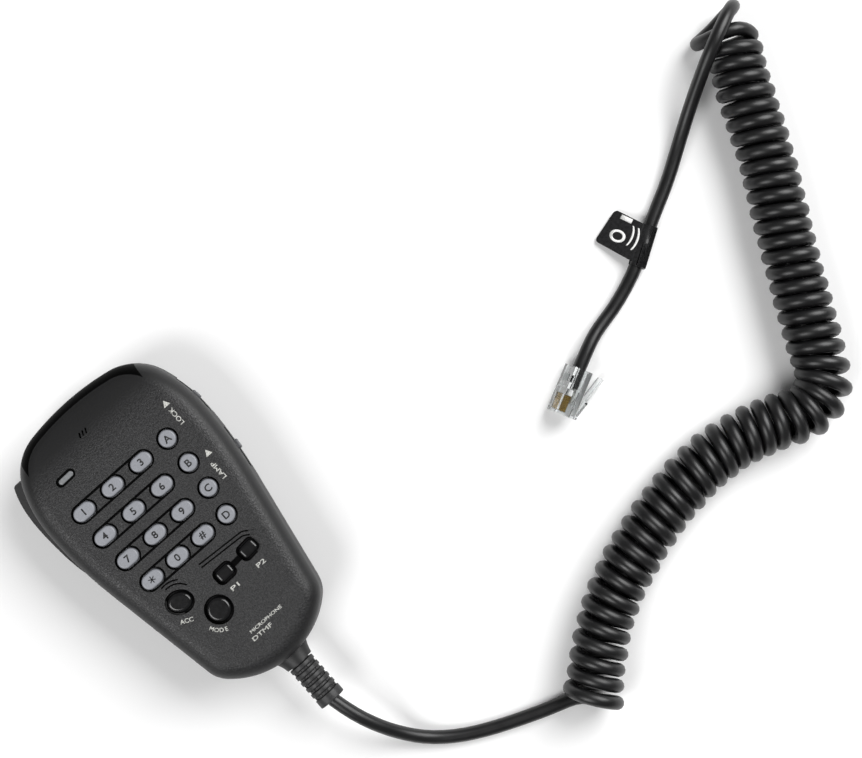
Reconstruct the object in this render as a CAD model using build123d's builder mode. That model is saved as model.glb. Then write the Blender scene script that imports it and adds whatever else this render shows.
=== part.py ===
from build123d import *
import os
from math import asin, cos, pi, radians, sin, tan

# Hand microphone with a sixteen-key pad, a curly cord and a modular plug.
# Millimetres. +X is to the right of the face, +Y towards the top end, +Z out of the face.
# The origin is the centre of the hanger button's flat outer face. The microphone rests level on
# that face and on the heel at the top end of its back, both at z = 0.

# ---- driving dimensions: case ----
PARTING_Z = 14.0          # plane where the two halves of the case meet
FACE_Z = 28.0             # flat of the front face
WALL = 2.0                # side walls
FACE_WALL = 2.2           # front face
WALL_DRAFT = 2.0          # degrees
RIM_RADIUS = 6.5          # rolled edge round the face
CROWN_Y = 28.0            # where the face starts to fall away towards the top end
CROWN_RADIUS = 63.0
CASE_TOP_Y = 53.2
TOP_ARC = (88.0, 10.6)    # radius and turn in degrees, from the top centre down the left side
SHOULDER_ARC = (17.4, 58.1)
SIDE_ARC = (48.4, 21.3)
WAIST_ARC = (148.0, 10.3)
TAPER_RUN = 39.3
FOOT_ARC = (11.0, 37.0)
REAR_STEP = 0.3           # the rear half is this much smaller all round
REAR_DRAFT = 4.0
REAR_RADIUS = 3.5
BACK_RISE = 0.08          # slope of the back, per unit of length
HEEL_Y = 46.0             # where the sloping back reaches the resting plane
HEEL_BEND = 2.5           # the back bends over this far each side of HEEL_Y

CASE_HALF_WIDTH = 32.5    # reached at WIDEST_Y
WIDEST_Y = 22.0
NECK_SECTIONS = [         # y, half width, half height of the flared neck for the cord
    (-52.5, 8.2, 5.3),
    (-55.8, 5.9, 5.05),
    (-59.0, 4.95, 4.95),
]
NECK_BORE_Y = -50.0
NECK_BORE_RADIUS = 4.0
NECK_BORE_LENGTH = 20.0

# ---- driving dimensions: keys and buttons ----
KEY_ROWS = [              # y, x of the middle oval key, pitch of the ovals, x of the round key
    (22.2, -5.85, 11.9, 17.15),
    (12.1, -5.90, 11.9, 17.15),
    (2.05, -5.70, 11.4, 16.65),
    (-8.0, -5.10, 10.6, 15.40),
]
KEY_NAMES = [
    ("key_1", "key_2", "key_3", "key_a"),
    ("key_4", "key_5", "key_6", "key_b"),
    ("key_7", "key_8", "key_9", "key_c"),
    ("key_star", "key_0", "key_hash", "key_d"),
]
OVAL_LENGTH = 7.4
OVAL_WIDTH = 4.75
ROUND_RADIUS = 2.8
KEY_TOP_Z = 28.9
KEY_GAP = 0.35            # between a key and its hole
FLANGE_EDGE = 0.9         # how far a key's flange reaches past its cap
FLANGE_TOP_Z = 25.4
FLANGE_THICK = 0.7
CHANNEL_WIDTH = 6.7       # long recess that holds the three oval keys of a row
CHANNEL_DEPTH = 0.3
MOAT_DEPTH = 0.9          # deep edge of the channel and of every key's recess
MOAT_WIDTH = 0.8
BUTTON_TOP_Z = 28.5
P_BUTTON = (6.0, 4.2, 1.3)            # length, width, corner radius
P1_PLACE = (2.75, -21.5, 2.0)         # x, y, turn in degrees
P2_PLACE = (13.35, -20.7, 5.0)
ACC_BUTTON = (4.0, 3.2)               # half lengths of the oval
ACC_PLACE = (-14.0, -19.1, -25.0)
MODE_RADIUS = 3.95
MODE_PLACE = (-6.2, -29.0)
BUTTON_RECESS = 0.85      # width of the recess round a button
RULE_WIDTH = 0.5          # engraved double rules beside the buttons
RULE_DEPTH = 0.35
KEY_CROWN = 0.6           # rounding of a key's top edge
BUTTON_CROWN = 1.1
NOTCH_WIDTH = 2.0         # notch between the recesses of P1 and P2
RULE_STEP = 1.25
RULE_BOW_RADIUS = 5.9
LENS_PLACE = (-15.2, 34.1, 2.0)
LENS_SIZE = (5.7, 1.8)
LENS_RECESS = 0.8
LENS_TOP_Z = 27.3
LENS_FLANGE_Z = 25.1
SLIT_PLACE = (-1.9, 41.3)
SLIT_SIZE = (1.9, 0.6)
SLIT_PITCH = 1.25
SLIT_TURN = 68.0

# ---- driving dimensions: inside ----
BOARD_TOP_Z = 22.35
BOARD_THICK = 1.6
BOARD_UNDER_Z = BOARD_TOP_Z - BOARD_THICK
BOARD_CUT = ((0.0, -5.0), (80.0, 83.0))      # middle and size of the rectangle the board is cut to
MAT_THICK = 1.2
MAT_CUT = ((-0.5, -4.0), (43.6, 62.0))
CASE_SCREWS = [(-22.0, 40.0), (22.0, 40.0), (-16.0, -42.0), (16.0, -42.0)]
CASE_SCREW_RADIUS = 1.25
CASE_BOSS_RADIUS = 3.0
BOARD_SCREWS = [(-24.5, 17.2), (24.5, 17.2), (0.0, -38.5)]
BOARD_SCREW_RADIUS = 0.9
BOARD_BOSS_RADIUS = 2.2
BOARD_SCREW_REACH = 2.6
BOARD_EDGE = 3.2          # board outline inside the case outline
CASE_PILOT_Z = 22.5
CASE_SCREW_LENGTH = 12.0
UPPER_HEAD_Z = 6.5
LOWER_HEAD_Z = 10.0
SCREW_HEAD_RADIUS = 2.4
SCREW_HEAD_THICK = 1.6
REAR_BOSS_RADIUS = 3.6
CAPSULE_RADIUS = 4.85
CAPSULE_HEIGHT = 5.6
CAPSULE_Z = 15.8
CAPSULE_RING_Z = 17.5
CAPSULE_RING_WALL = 1.3
BOOT_RADIUS = 6.4
CAPSULE_HOLE_RADIUS = 0.6
CAPSULE_HOLE_CIRCLE = 2.2
SOCKET_WIDTH = 10.0
SOCKET_Y = (-36.0, -30.0)
SOCKET_DROP = 1.6         # the socket reaches this far below the parting plane
CHIP_PLACE = (6.0, -8.0)
CHIP_BODY = (16.5, 7.6, 2.3)
CHIP_PINS = (2.0, 8.6)    # pitch of the pins and distance between their rows
CRYSTAL_PLACE = (-10.0, -8.0)
CRYSTAL_CAN = (11.0, 4.6, 3.6)
CAPACITOR_PLACE = (-9.0, 10.0)
CAPACITOR_CAN = (2.5, 6.0)            # radius and height
LED_BODY = (4.0, 2.0, 1.4)
LENS_FLANGE = (1.4, 0.5)              # extra size and thickness

# ---- driving dimensions: side and top controls ----
PIVOT = (-28.3, 3.4)                  # push-to-talk hinge, parallel to Z
KNUCKLE_RADIUS = 2.4
PIVOT_PIN_RADIUS = 0.75
LEVER_TOP_Z = 13.6
LEVER_END_Y = 44.3
LEVER_BOW = [             # plan of the lever's bowed outer side, from its hinge end
    (-31.0, 1.8),
    (-33.1, 8.0),
    (-34.7, 19.0),
    (-35.1, 28.0),
    (-34.2, 38.0),
    (-32.1, 44.3),
]
LEVER_INNER_X = -29.4
LEVER_WALL = 1.6
LEVER_SILL = 2.6          # wall left under the lever's opening
LEVER_POCKET_X = -26.6
LEVER_RIB_X = -28.6       # tip of the rib that presses the switch
PIVOT_BOSS_RADIUS = 2.0
PIVOT_BOSS_HEIGHT = 4.5
PIN_SOCKET = 3.0          # depth of the hinge pin's hole in the front half
PIN_SEAT_Z = 4.1          # bottom of its hole in the rear half
PTT_SWITCH = (5.8, 12.8)
PTT_SWITCH_PLACE = (-22.7, 29.0)
PTT_SWITCH_Z = 5.4
PTT_SWITCH_HEIGHT = 6.5
PLUNGER_REACH = 1.2
SIDE_GAP = 0.4
SLIDE_WINDOW = (15.5, 4.6)            # length and height of a slide switch's window
SLIDE_LAND = 12.0                     # raised part of the slider that fills the window
SLIDE_TRAVEL = 2.5
SLIDER_DEPTH = 3.75       # back plate, land and thumb rib of a slider, measured in from the wall
SLIDER_THICK = 1.2
SLIDER_SINK = 0.9
THUMB_PROUD = 0.6
UP_DOWN_X = 9.0
UP_DOWN_Z = 8.2
UP_DOWN_SIZE = (8.6, 3.8)
UP_DOWN_FLANGE_Y = 48.9
UP_DOWN_FACE_Y = 52.9
SWITCH_BOARD = (30.0, 1.2, 12.5)      # length, thickness and top height of the board in the top end
SWITCH_BOARD_Y = 42.2
LOCK_Y = 28.2
LAMP_Y = 6.1
WINDOW_Z = 16.3
WINDOW_SKIRT = 2.0                    # the window is cut this much below its nominal edge

# ---- driving dimensions: hanger, cord and plug ----
HANGER_BOSS_RADIUS = 4.5
HANGER_BOSS_Z = 7.0
HANGER_SCREW_RADIUS = 1.5
HANGER_SCREW_BITE = 2.0
HANGER_SCREW_HEAD = (2.8, 2.0)        # radius and thickness
BUTTON_HEAD_RADIUS = 6.5
BUTTON_HEAD_THICK = 1.5
BUTTON_NECK_RADIUS = 3.9
SPOT_FACE_Z = 3.5         # flat on the back that the hanger button stands on
SPOT_FACE_RADIUS = 8.0
RELIEF_END_Y = -75.2
RELIEF_FLANGE_Y = -51.2
RELIEF_FLANGE = (11.0, 7.6)
RELIEF_FLANGE_THICK = 1.2
RELIEF_NECK_RADIUS = 3.95
RELIEF_CORE_RADIUS = 3.4
RELIEF_RIB_WIDTH = 1.5
RELIEF_RIB_RADIUS = 4.55
RELIEF_RIBS = 5
RELIEF_PITCH = 2.5
RELIEF_FIRST_RIB_Y = -60.3
CORD_RADIUS = 2.3
CORD_INNER_Y = -48.0      # where the cord's jacket ends inside the case
WIRE_RADIUS = 0.45
WIRE_PITCH = 1.3
COIL_RADIUS = 9.6
HANDSET_LEAD = [          # from the strain relief to the coil
    (0.0, -75.2, 14.0),
    (1.5, -82.0, 14.0),
    (4.6, -91.0, 11.0),
    (8.2, -98.9, 6.0),
    (13.5, -106.4, 2.9),
    (21.6, -112.9, 2.35),
    (31.2, -118.0, 2.35),
    (41.4, -122.3, 2.35),
    (50.8, -125.9, 2.4),
    (60.0, -129.2, 3.6),
]
COIL_AXIS = [
    (61.3, -132.6),
    (72.5, -122.3),
    (88.0, -111.0),
    (108.0, -103.2),
    (130.0, -98.3),
    (148.5, -97.8),
    (164.5, -102.0),
    (176.7, -107.5),
    (183.1, -106.7),
    (188.3, -102.9),
    (192.5, -93.6),
    (201.5, -75.0),
    (211.5, -54.9),
    (221.5, -36.6),
    (229.0, -18.3),
    (234.4, -6.9),
    (240.5, 4.0),
]
COIL_Z = 9.65
PLUG_LEAD = [             # from the coil's last turn, over its left side, to the plug
    (236.0, 1.8, 16.0),
    (229.0, -1.0, 16.3),
    (222.5, -4.8, 12.5),
    (212.8, -8.5, 7.0),
    (203.4, -14.7, 3.4),
    (192.5, -21.6, 2.9),
    (179.8, -27.8, 2.85),
    (166.3, -35.9, 2.85),
    (153.3, -40.7, 2.6),
    (143.2, -42.5, 4.0),
    (136.44, -45.15, 5.75),
    (130.62, -48.04, 5.75),
]
TAG_SLEEVE = (2.75, 13.9)             # outer radius and length
TAG_FLAG = [(178.2, -26.6), (174.4, -16.8), (162.5, -20.0), (166.6, -34.0)]
TAG_FLAG_Z = 0.8
TAG_FLAG_THICK = 0.5
PLUG_SIZE = (16.1, 6.6, 9.65)         # length, thickness, width
PLUG_TIP = (116.2, -55.2, 5.75)
PLUG_HEADING = 206.4                  # plan direction that the plug points, in degrees
PLUG_ROLL = 20.0                      # how far the contact side is rolled upwards
LATCH_ANGLE = 17.0
LATCH_LENGTH = 15.2
LATCH_THICK = 0.9
LATCH_DROP = 4.1          # from the plug's middle to the latch's hinge line
CONTACT_PITCH = 1.02
CONTACT_THICK = 0.36
CONDUCTOR_RADIUS = 0.42
CONDUCTOR_LEVEL = -0.3    # conductors lie this far to the latch side of the plug's middle
PLUG_CHAMFER = 0.4
PLUG_CAVITY = (7.6, 3.4, 7.5)         # width, height and depth of the space for the jacket
CONDUCTOR_SLOT = (6.4, 1.6, 12.1)     # width, height and depth of the space for the conductors
CONTACT_SLOT = (0.8, 5.8, 0.3)        # start from the tip, length, level of its floor
CONTACT_BLADE = (1.0, 5.4, 0.45, 2.5)  # start from the tip, length, level of its foot, height
CRIMP_WINDOW = (12.0, 2.4, 5.4, 1.2)  # place from the tip, length, width, depth
CONDUCTOR_END_X = 4.2     # from the plug's tip to where the conductors end
LATCH_ROOT = (0.8, 6.2)
LATCH_HINGE_X = 1.2
LATCH_HALF_WIDTHS = (3.1, 1.6)        # of its broad foot and of its tongue
LATCH_NARROWS = (5.6, 6.4)            # where the foot narrows to the tongue
WIRE_BUNCH = 0.55         # spacing of the wires where the jacket ends
JACKET_END = (5.0, 2.9)
JACKET_END_X = 9.3        # from the plug's tip to where the jacket ends inside it


os.makedirs("parts", exist_ok=True)


def finish(part, name):
    """Label a finished piece and write it under its own name."""
    part.label = name
    export_step(part, f"parts/{name}.step")


# ---- forms shared by several pieces ----


def case_section(inset, plane):
    """Plan outline of the case, drawn in by inset all round."""
    with BuildSketch(plane) as section:
        with BuildLine():
            top = JernArc((0, CASE_TOP_Y), (-1, 0), *TOP_ARC)
            shoulder = JernArc(top @ 1, top % 1, *SHOULDER_ARC)
            side = JernArc(shoulder @ 1, shoulder % 1, *SIDE_ARC)
            waist = JernArc(side @ 1, side % 1, *WAIST_ARC)
            taper = PolarLine(waist @ 1, TAPER_RUN, direction=waist % 1)
            foot = JernArc(taper @ 1, taper % 1, *FOOT_ARC)
            to_turn = 180 - sum(arc[1] for arc in (TOP_ARC, SHOULDER_ARC, SIDE_ARC, WAIST_ARC, FOOT_ARC))
            JernArc(foot @ 1, foot % 1, -(foot @ 1).X / sin(radians(to_turn)), to_turn)
            mirror(about=Plane.YZ)
        make_face()
        if inset:
            offset(amount=-inset)
    return section.sketch


def front_form(inset, drop):
    """Solid form of the front half: drafted walls, crowned top end and rolled rim."""
    face_z = FACE_Z - drop
    with BuildPart() as form:
        extrude(case_section(inset, Plane.XY.offset(PARTING_Z)), amount=FACE_Z, taper=WALL_DRAFT)
        with BuildSketch(Plane.YZ):
            with BuildLine():
                flat = Line((-80, face_z), (CROWN_Y, face_z))
                crown = JernArc(flat @ 1, (1, 0), CROWN_RADIUS - drop, -40)
                Polyline(crown @ 1, ((crown @ 1).X, 0), (-80, 0), (-80, face_z))
            make_face()
        extrude(amount=60, both=True, mode=Mode.INTERSECT)
        top_faces = form.faces().filter_by(lambda face: face.normal_at().Z > 0.5)
        fillet(top_faces.edges().filter_by(Axis.X, reverse=True), RIM_RADIUS - inset)
    return form.part


def back_z(y):
    """Height of the sloping back above the resting plane at y."""
    return BACK_RISE * (HEEL_Y - y)


def rear_form(inset, lift):
    """Solid form of the rear half: drafted walls, sloping back and rounded heel."""
    with BuildPart() as form:
        extrude(case_section(inset, Plane.XY.offset(PARTING_Z)), amount=-30, taper=REAR_DRAFT)
        with BuildSketch(Plane.YZ):
            with BuildLine():
                bounds = Polyline((80, lift), (80, 40), (-80, 40), (-80, back_z(-80) + lift))
                slope = Line(bounds @ 1, (HEEL_Y - HEEL_BEND, back_z(HEEL_Y - HEEL_BEND) + lift))
                heel = TangentArc(slope @ 1, (HEEL_Y + HEEL_BEND, lift), tangent=slope % 1)
                Line(heel @ 1, bounds @ 0)
            make_face()
        extrude(amount=60, both=True, mode=Mode.INTERSECT)
        low_faces = form.faces().filter_by(lambda face: face.normal_at().Z < -0.5)
        fillet(low_faces.edges().filter_by(Axis.X, reverse=True), REAR_RADIUS - lift)
    return form.part


def across(y):
    """Plane across the case at y and at parting height, facing the cord end."""
    return Plane(origin=(0, y, PARTING_Z), x_dir=(1, 0, 0), z_dir=(0, -1, 0))


def cord_neck():
    """Flared neck of the case that the strain relief comes out of."""
    with BuildPart() as neck:
        for y, half_width, half_height in NECK_SECTIONS:
            with BuildSketch(across(y)):
                Ellipse(half_width, half_height)
        loft()
    return neck.part


def side_plane(y):
    """Plane on the right wall at y: local x along the wall, local y up, local z straight out."""
    radius = SIDE_ARC[0] if y > WIDEST_Y else WAIST_ARC[0]
    turn = asin((y - WIDEST_Y) / radius)
    x = CASE_HALF_WIDTH - radius * (1 - cos(turn))
    return Plane(origin=(x, y, WINDOW_Z), x_dir=(-sin(turn), cos(turn), 0), z_dir=(cos(turn), sin(turn), 0))


def lever_outline(shift):
    """Plan of the push-to-talk lever: bowed outer side moved in by shift, closed by a straight inside."""
    with BuildSketch() as outline:
        with BuildLine():
            bow = Spline(*[(x + shift, y) for x, y in LEVER_BOW])
            inner_x = LEVER_INNER_X + shift
            Polyline(bow @ 1, (inner_x, (bow @ 1).Y), (inner_x, (bow @ 0).Y), bow @ 0)
        make_face()
    return outline.sketch


def lever_side(low_y, high_y, margin, top_z):
    """Elevation of the lever's space: its underside follows the sloping back, margin above the sill."""
    with BuildSketch(Plane.YZ.offset(-CASE_HALF_WIDTH - 8)) as side:
        with BuildLine():
            Polyline(
                (low_y, top_z), (low_y, back_z(low_y) + LEVER_SILL + margin),
                (high_y, back_z(high_y) + LEVER_SILL + margin), (high_y, top_z), close=True)
        make_face()
    return side.sketch


def case_head_z(y):
    """Height of the shoulder that a case screw's head bears on."""
    return UPPER_HEAD_Z if y > 0 else LOWER_HEAD_Z


# ---- case halves ----

# Bosses inside the front half: case screws, board screws, capsule ring and hinge pin.
with BuildPart() as front_bosses:
    with BuildSketch(Plane.XY.offset(PARTING_Z)):
        with Locations(*CASE_SCREWS):
            Circle(CASE_BOSS_RADIUS)
    extrude(amount=FACE_Z - PARTING_Z)
    with BuildSketch(Plane.XY.offset(BOARD_TOP_Z)):
        with Locations(*BOARD_SCREWS):
            Circle(BOARD_BOSS_RADIUS)
    extrude(amount=FACE_Z - BOARD_TOP_Z)
    with BuildSketch(Plane.XY.offset(CAPSULE_RING_Z)):
        with Locations(SLIT_PLACE):
            Circle(BOOT_RADIUS + CAPSULE_RING_WALL)
            Circle(BOOT_RADIUS, mode=Mode.SUBTRACT)
    extrude(amount=FACE_Z - CAPSULE_RING_Z)
    with BuildSketch(Plane.XY.offset(PARTING_Z)):
        with Locations(PIVOT):
            Circle(PIVOT_BOSS_RADIUS)
    extrude(amount=PIVOT_BOSS_HEIGHT)
    add(front_form(WALL / 2, FACE_WALL / 2), mode=Mode.INTERSECT)

with BuildPart() as front_shell:
    add(front_form(0, 0))
    add(cord_neck())
    split(bisect_by=Plane.XY.offset(PARTING_Z), keep=Keep.TOP)
    add(front_form(WALL, FACE_WALL), mode=Mode.SUBTRACT)
    add(front_bosses.part)
    # Long recess of each row of oval keys, then the deep edge round it and round every key.
    with BuildSketch(Plane.XY.offset(FACE_Z)):
        for y, middle_x, pitch, round_x in KEY_ROWS:
            with Locations((middle_x, y)):
                SlotOverall(2 * pitch + OVAL_LENGTH + 2 * MOAT_WIDTH, CHANNEL_WIDTH)
    extrude(amount=-CHANNEL_DEPTH, mode=Mode.SUBTRACT)
    with BuildSketch(Plane.XY.offset(FACE_Z)):
        for y, middle_x, pitch, round_x in KEY_ROWS:
            with Locations((middle_x, y)):
                SlotOverall(2 * pitch + OVAL_LENGTH + 2 * MOAT_WIDTH, CHANNEL_WIDTH)
                SlotOverall(2 * pitch + OVAL_LENGTH, CHANNEL_WIDTH - 2 * MOAT_WIDTH, mode=Mode.SUBTRACT)
    extrude(amount=-MOAT_DEPTH, mode=Mode.SUBTRACT)
    with BuildSketch(Plane.XY.offset(FACE_Z)):
        for y, middle_x, pitch, round_x in KEY_ROWS:
            with Locations((middle_x - pitch, y), (middle_x, y), (middle_x + pitch, y)):
                SlotOverall(OVAL_LENGTH + 2 * MOAT_WIDTH, OVAL_WIDTH + 2 * MOAT_WIDTH)
            with Locations((round_x, y)):
                Circle(ROUND_RADIUS + MOAT_WIDTH)
    extrude(amount=-MOAT_DEPTH, mode=Mode.SUBTRACT)
    with BuildSketch(Plane.XY.offset(FACE_Z)):
        for y, middle_x, pitch, round_x in KEY_ROWS:
            with Locations((middle_x - pitch, y), (middle_x, y), (middle_x + pitch, y)):
                SlotOverall(OVAL_LENGTH + 2 * KEY_GAP, OVAL_WIDTH + 2 * KEY_GAP)
            with Locations((round_x, y)):
                Circle(ROUND_RADIUS + KEY_GAP)
    extrude(amount=-FACE_WALL - 1, mode=Mode.SUBTRACT)
    # Recesses of the four function buttons and the notch that joins P1 and P2.
    for edge, depth in ((BUTTON_RECESS, MOAT_DEPTH), (KEY_GAP, FACE_WALL + 1)):
        with BuildSketch(Plane.XY.offset(FACE_Z)):
            for x, y, turn in (P1_PLACE, P2_PLACE):
                with Locations((x, y)):
                    RectangleRounded(P_BUTTON[0] + 2 * edge, P_BUTTON[1] + 2 * edge, P_BUTTON[2] + edge, turn)
            with Locations(ACC_PLACE[:2]):
                Ellipse(ACC_BUTTON[0] + edge, ACC_BUTTON[1] + edge, ACC_PLACE[2])
            with Locations(MODE_PLACE):
                Circle(MODE_RADIUS + edge)
        extrude(amount=-depth, mode=Mode.SUBTRACT)
    with BuildSketch(Plane.XY.offset(FACE_Z)):
        with Locations(((P1_PLACE[0] + P2_PLACE[0]) / 2, (P1_PLACE[1] + P2_PLACE[1]) / 2)):
            Rectangle(P2_PLACE[0] - P1_PLACE[0] - P_BUTTON[0], NOTCH_WIDTH, 4)
    extrude(amount=-MOAT_DEPTH / 2, mode=Mode.SUBTRACT)
    # Engraved double rules above P1 and P2, and bowed over the accessory button.
    with BuildSketch(Plane.XY.offset(FACE_Z)):
        for step in (0, RULE_STEP):
            with BuildLine():
                FilletPolyline(
                    (-1.7, -14.2 - step), (15.4 - 0.4 * step, -15.2 - step), (19.2 - step, -17.6 - 0.8 * step),
                    radius=3.5)
            trace(line_width=RULE_WIDTH)
        for step in (0, RULE_STEP):
            with BuildLine():
                CenterArc(ACC_PLACE[:2], RULE_BOW_RADIUS + step, 26 + 22 * step, 72 - 18 * step)
            trace(line_width=RULE_WIDTH)
    extrude(amount=-RULE_DEPTH, mode=Mode.SUBTRACT)
    # Indicator window and the sound slits over the capsule.
    for edge, depth in ((LENS_RECESS, MOAT_DEPTH), (0.05, FACE_WALL + 1)):
        with BuildSketch(Plane.XY.offset(FACE_Z)):
            with Locations(LENS_PLACE[:2]):
                SlotOverall(LENS_SIZE[0] + 2 * edge, LENS_SIZE[1] + 2 * edge, LENS_PLACE[2])
        extrude(amount=-depth, mode=Mode.SUBTRACT)
    with BuildSketch(Plane.XY.offset(FACE_Z)):
        with Locations(*[(SLIT_PLACE[0] + i * SLIT_PITCH, SLIT_PLACE[1]) for i in (-1, 0, 1)]):
            SlotOverall(SLIT_SIZE[0], SLIT_SIZE[1], SLIT_TURN)
    extrude(amount=-2 * FACE_WALL - 2, mode=Mode.SUBTRACT)
    # Windows of the two slide switches, open at the parting plane.
    for y in (LOCK_Y, LAMP_Y):
        with BuildSketch(side_plane(y)):
            with Locations((0, -WINDOW_SKIRT / 2)):
                RectangleRounded(SLIDE_WINDOW[0], SLIDE_WINDOW[1] + WINDOW_SKIRT, 1.2)
        extrude(amount=2 * WALL, both=True, mode=Mode.SUBTRACT)
    # Pilot holes and the bore for the strain relief.
    with BuildSketch(Plane.XY.offset(PARTING_Z)):
        with Locations(*CASE_SCREWS):
            Circle(CASE_SCREW_RADIUS)
    extrude(amount=CASE_PILOT_Z - PARTING_Z, mode=Mode.SUBTRACT)
    with BuildSketch(Plane.XY.offset(BOARD_TOP_Z)):
        with Locations(*BOARD_SCREWS):
            Circle(BOARD_SCREW_RADIUS)
    extrude(amount=BOARD_SCREW_REACH, mode=Mode.SUBTRACT)
    with BuildSketch(Plane.XY.offset(PARTING_Z)):
        with Locations(PIVOT):
            Circle(PIVOT_PIN_RADIUS)
    extrude(amount=PIN_SOCKET, mode=Mode.SUBTRACT)
    with BuildSketch(across(NECK_BORE_Y)):
        Circle(NECK_BORE_RADIUS)
    extrude(amount=NECK_BORE_LENGTH, mode=Mode.SUBTRACT)
finish(front_shell.part, "front_shell")

# Bosses inside the rear half: case screws, hanger screw, hinge pin, switch cradle, switch board ribs.
with BuildPart() as rear_bosses:
    with BuildSketch():
        with Locations(*CASE_SCREWS):
            Circle(REAR_BOSS_RADIUS)
    extrude(amount=PARTING_Z)
    with BuildSketch():
        Circle(HANGER_BOSS_RADIUS)
    extrude(amount=HANGER_BOSS_Z)
    with BuildSketch():
        with Locations(PIVOT):
            Circle(PIVOT_BOSS_RADIUS)
    extrude(amount=back_z(PIVOT[1]) + LEVER_SILL)
    with BuildSketch():
        with Locations(*[(PTT_SWITCH_PLACE[0], PTT_SWITCH_PLACE[1] + i * PTT_SWITCH[1] / 3) for i in (-1, 1)]):
            Rectangle(PTT_SWITCH[0], 2)
    extrude(amount=PTT_SWITCH_Z)
    with BuildSketch():
        with Locations(*[(i * (SWITCH_BOARD[0] / 2 + 1), SWITCH_BOARD_Y) for i in (-1, 1)]):
            Rectangle(2, 3.4)
    extrude(amount=SWITCH_BOARD[2])
    add(rear_form(REAR_STEP + WALL / 2, WALL / 2), mode=Mode.INTERSECT)

with BuildPart() as rear_shell:
    add(rear_form(REAR_STEP, 0))
    add(cord_neck())
    split(bisect_by=Plane.XY.offset(PARTING_Z), keep=Keep.BOTTOM)
    add(rear_form(REAR_STEP + WALL, WALL), mode=Mode.SUBTRACT)
    add(rear_bosses.part)
    # Spot face for the hanger button, and the hole for its screw.
    with BuildSketch():
        Circle(SPOT_FACE_RADIUS)
    extrude(amount=SPOT_FACE_Z, mode=Mode.SUBTRACT)
    with BuildSketch(Plane.XY.offset(SPOT_FACE_Z)):
        Circle(SPOT_FACE_RADIUS)
    extrude(amount=WALL)
    with BuildSketch(Plane.XY.offset(SPOT_FACE_Z)):
        Circle(HANGER_SCREW_RADIUS + 0.1)
    extrude(amount=HANGER_BOSS_Z, mode=Mode.SUBTRACT)
    # Deep counterbores for the case screws.
    for x, y in CASE_SCREWS:
        with BuildSketch():
            with Locations((x, y)):
                Circle(SCREW_HEAD_RADIUS + 0.25)
        extrude(amount=case_head_z(y), mode=Mode.SUBTRACT)
        with BuildSketch():
            with Locations((x, y)):
                Circle(CASE_SCREW_RADIUS + 0.15)
        extrude(amount=PARTING_Z, mode=Mode.SUBTRACT)
    # Opening in the left wall for the push-to-talk lever, above a sill that follows the back.
    lever_opening = lever_side(
        PIVOT[1] - KNUCKLE_RADIUS - 2 * SIDE_GAP, LEVER_END_Y + 1.5 * SIDE_GAP, 0, PARTING_Z)
    extrude(lever_opening, amount=8 + CASE_HALF_WIDTH + LEVER_POCKET_X, mode=Mode.SUBTRACT)
    with BuildSketch(Plane.XY.offset(PIN_SEAT_Z)):
        with Locations(PIVOT):
            Circle(PIVOT_PIN_RADIUS)
    extrude(amount=PIN_SOCKET, mode=Mode.SUBTRACT)
    # Holes for the up and down buttons in the top wall, and the bore for the strain relief.
    with BuildSketch(Plane(origin=(0, CASE_TOP_Y, UP_DOWN_Z), x_dir=(1, 0, 0), z_dir=(0, -1, 0))):
        with Locations((-UP_DOWN_X, 0), (UP_DOWN_X, 0)):
            SlotOverall(UP_DOWN_SIZE[0] + 2 * KEY_GAP, UP_DOWN_SIZE[1] + 2 * KEY_GAP)
    extrude(amount=4 * WALL - 1, mode=Mode.SUBTRACT)
    with BuildSketch(across(NECK_BORE_Y)):
        Circle(NECK_BORE_RADIUS)
    extrude(amount=NECK_BORE_LENGTH, mode=Mode.SUBTRACT)
finish(rear_shell.part, "rear_shell")

# ---- keys and face buttons, each pushed in along -Z ----


def push_button(name, cap, flange, top_z, crown):
    """Cap that reaches through the face, with the flange behind it that keeps it in."""
    with BuildPart() as button:
        extrude(cap, amount=top_z - FLANGE_TOP_Z)
        fillet(button.faces().sort_by(Axis.Z)[-1].edges(), crown)
        extrude(flange, amount=-FLANGE_THICK)
    finish(button.part, name)


for (y, middle_x, pitch, round_x), names in zip(KEY_ROWS, KEY_NAMES):
    for name, x in zip(names, (middle_x - pitch, middle_x, middle_x + pitch)):
        outlines = []
        for edge in (0, FLANGE_EDGE):
            with BuildSketch(Plane.XY.offset(FLANGE_TOP_Z)) as outline:
                with Locations((x, y)):
                    SlotOverall(OVAL_LENGTH + 2 * edge, OVAL_WIDTH + 2 * edge)
            outlines.append(outline.sketch)
        push_button(name, *outlines, KEY_TOP_Z, KEY_CROWN)
    outlines = []
    for edge in (0, FLANGE_EDGE):
        with BuildSketch(Plane.XY.offset(FLANGE_TOP_Z)) as outline:
            with Locations((round_x, y)):
                Circle(ROUND_RADIUS + edge)
        outlines.append(outline.sketch)
    push_button(names[3], *outlines, KEY_TOP_Z, KEY_CROWN)

for name, (x, y, turn) in (("button_p1", P1_PLACE), ("button_p2", P2_PLACE)):
    outlines = []
    for edge in (0, FLANGE_EDGE):
        with BuildSketch(Plane.XY.offset(FLANGE_TOP_Z)) as outline:
            with Locations((x, y)):
                RectangleRounded(P_BUTTON[0] + 2 * edge, P_BUTTON[1] + 2 * edge, P_BUTTON[2] + edge, turn)
        outlines.append(outline.sketch)
    push_button(name, *outlines, BUTTON_TOP_Z, BUTTON_CROWN)

outlines = []
for edge in (0, FLANGE_EDGE):
    with BuildSketch(Plane.XY.offset(FLANGE_TOP_Z)) as outline:
        with Locations(ACC_PLACE[:2]):
            Ellipse(ACC_BUTTON[0] + edge, ACC_BUTTON[1] + edge, ACC_PLACE[2])
    outlines.append(outline.sketch)
push_button("button_acc", *outlines, BUTTON_TOP_Z, BUTTON_CROWN)

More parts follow.
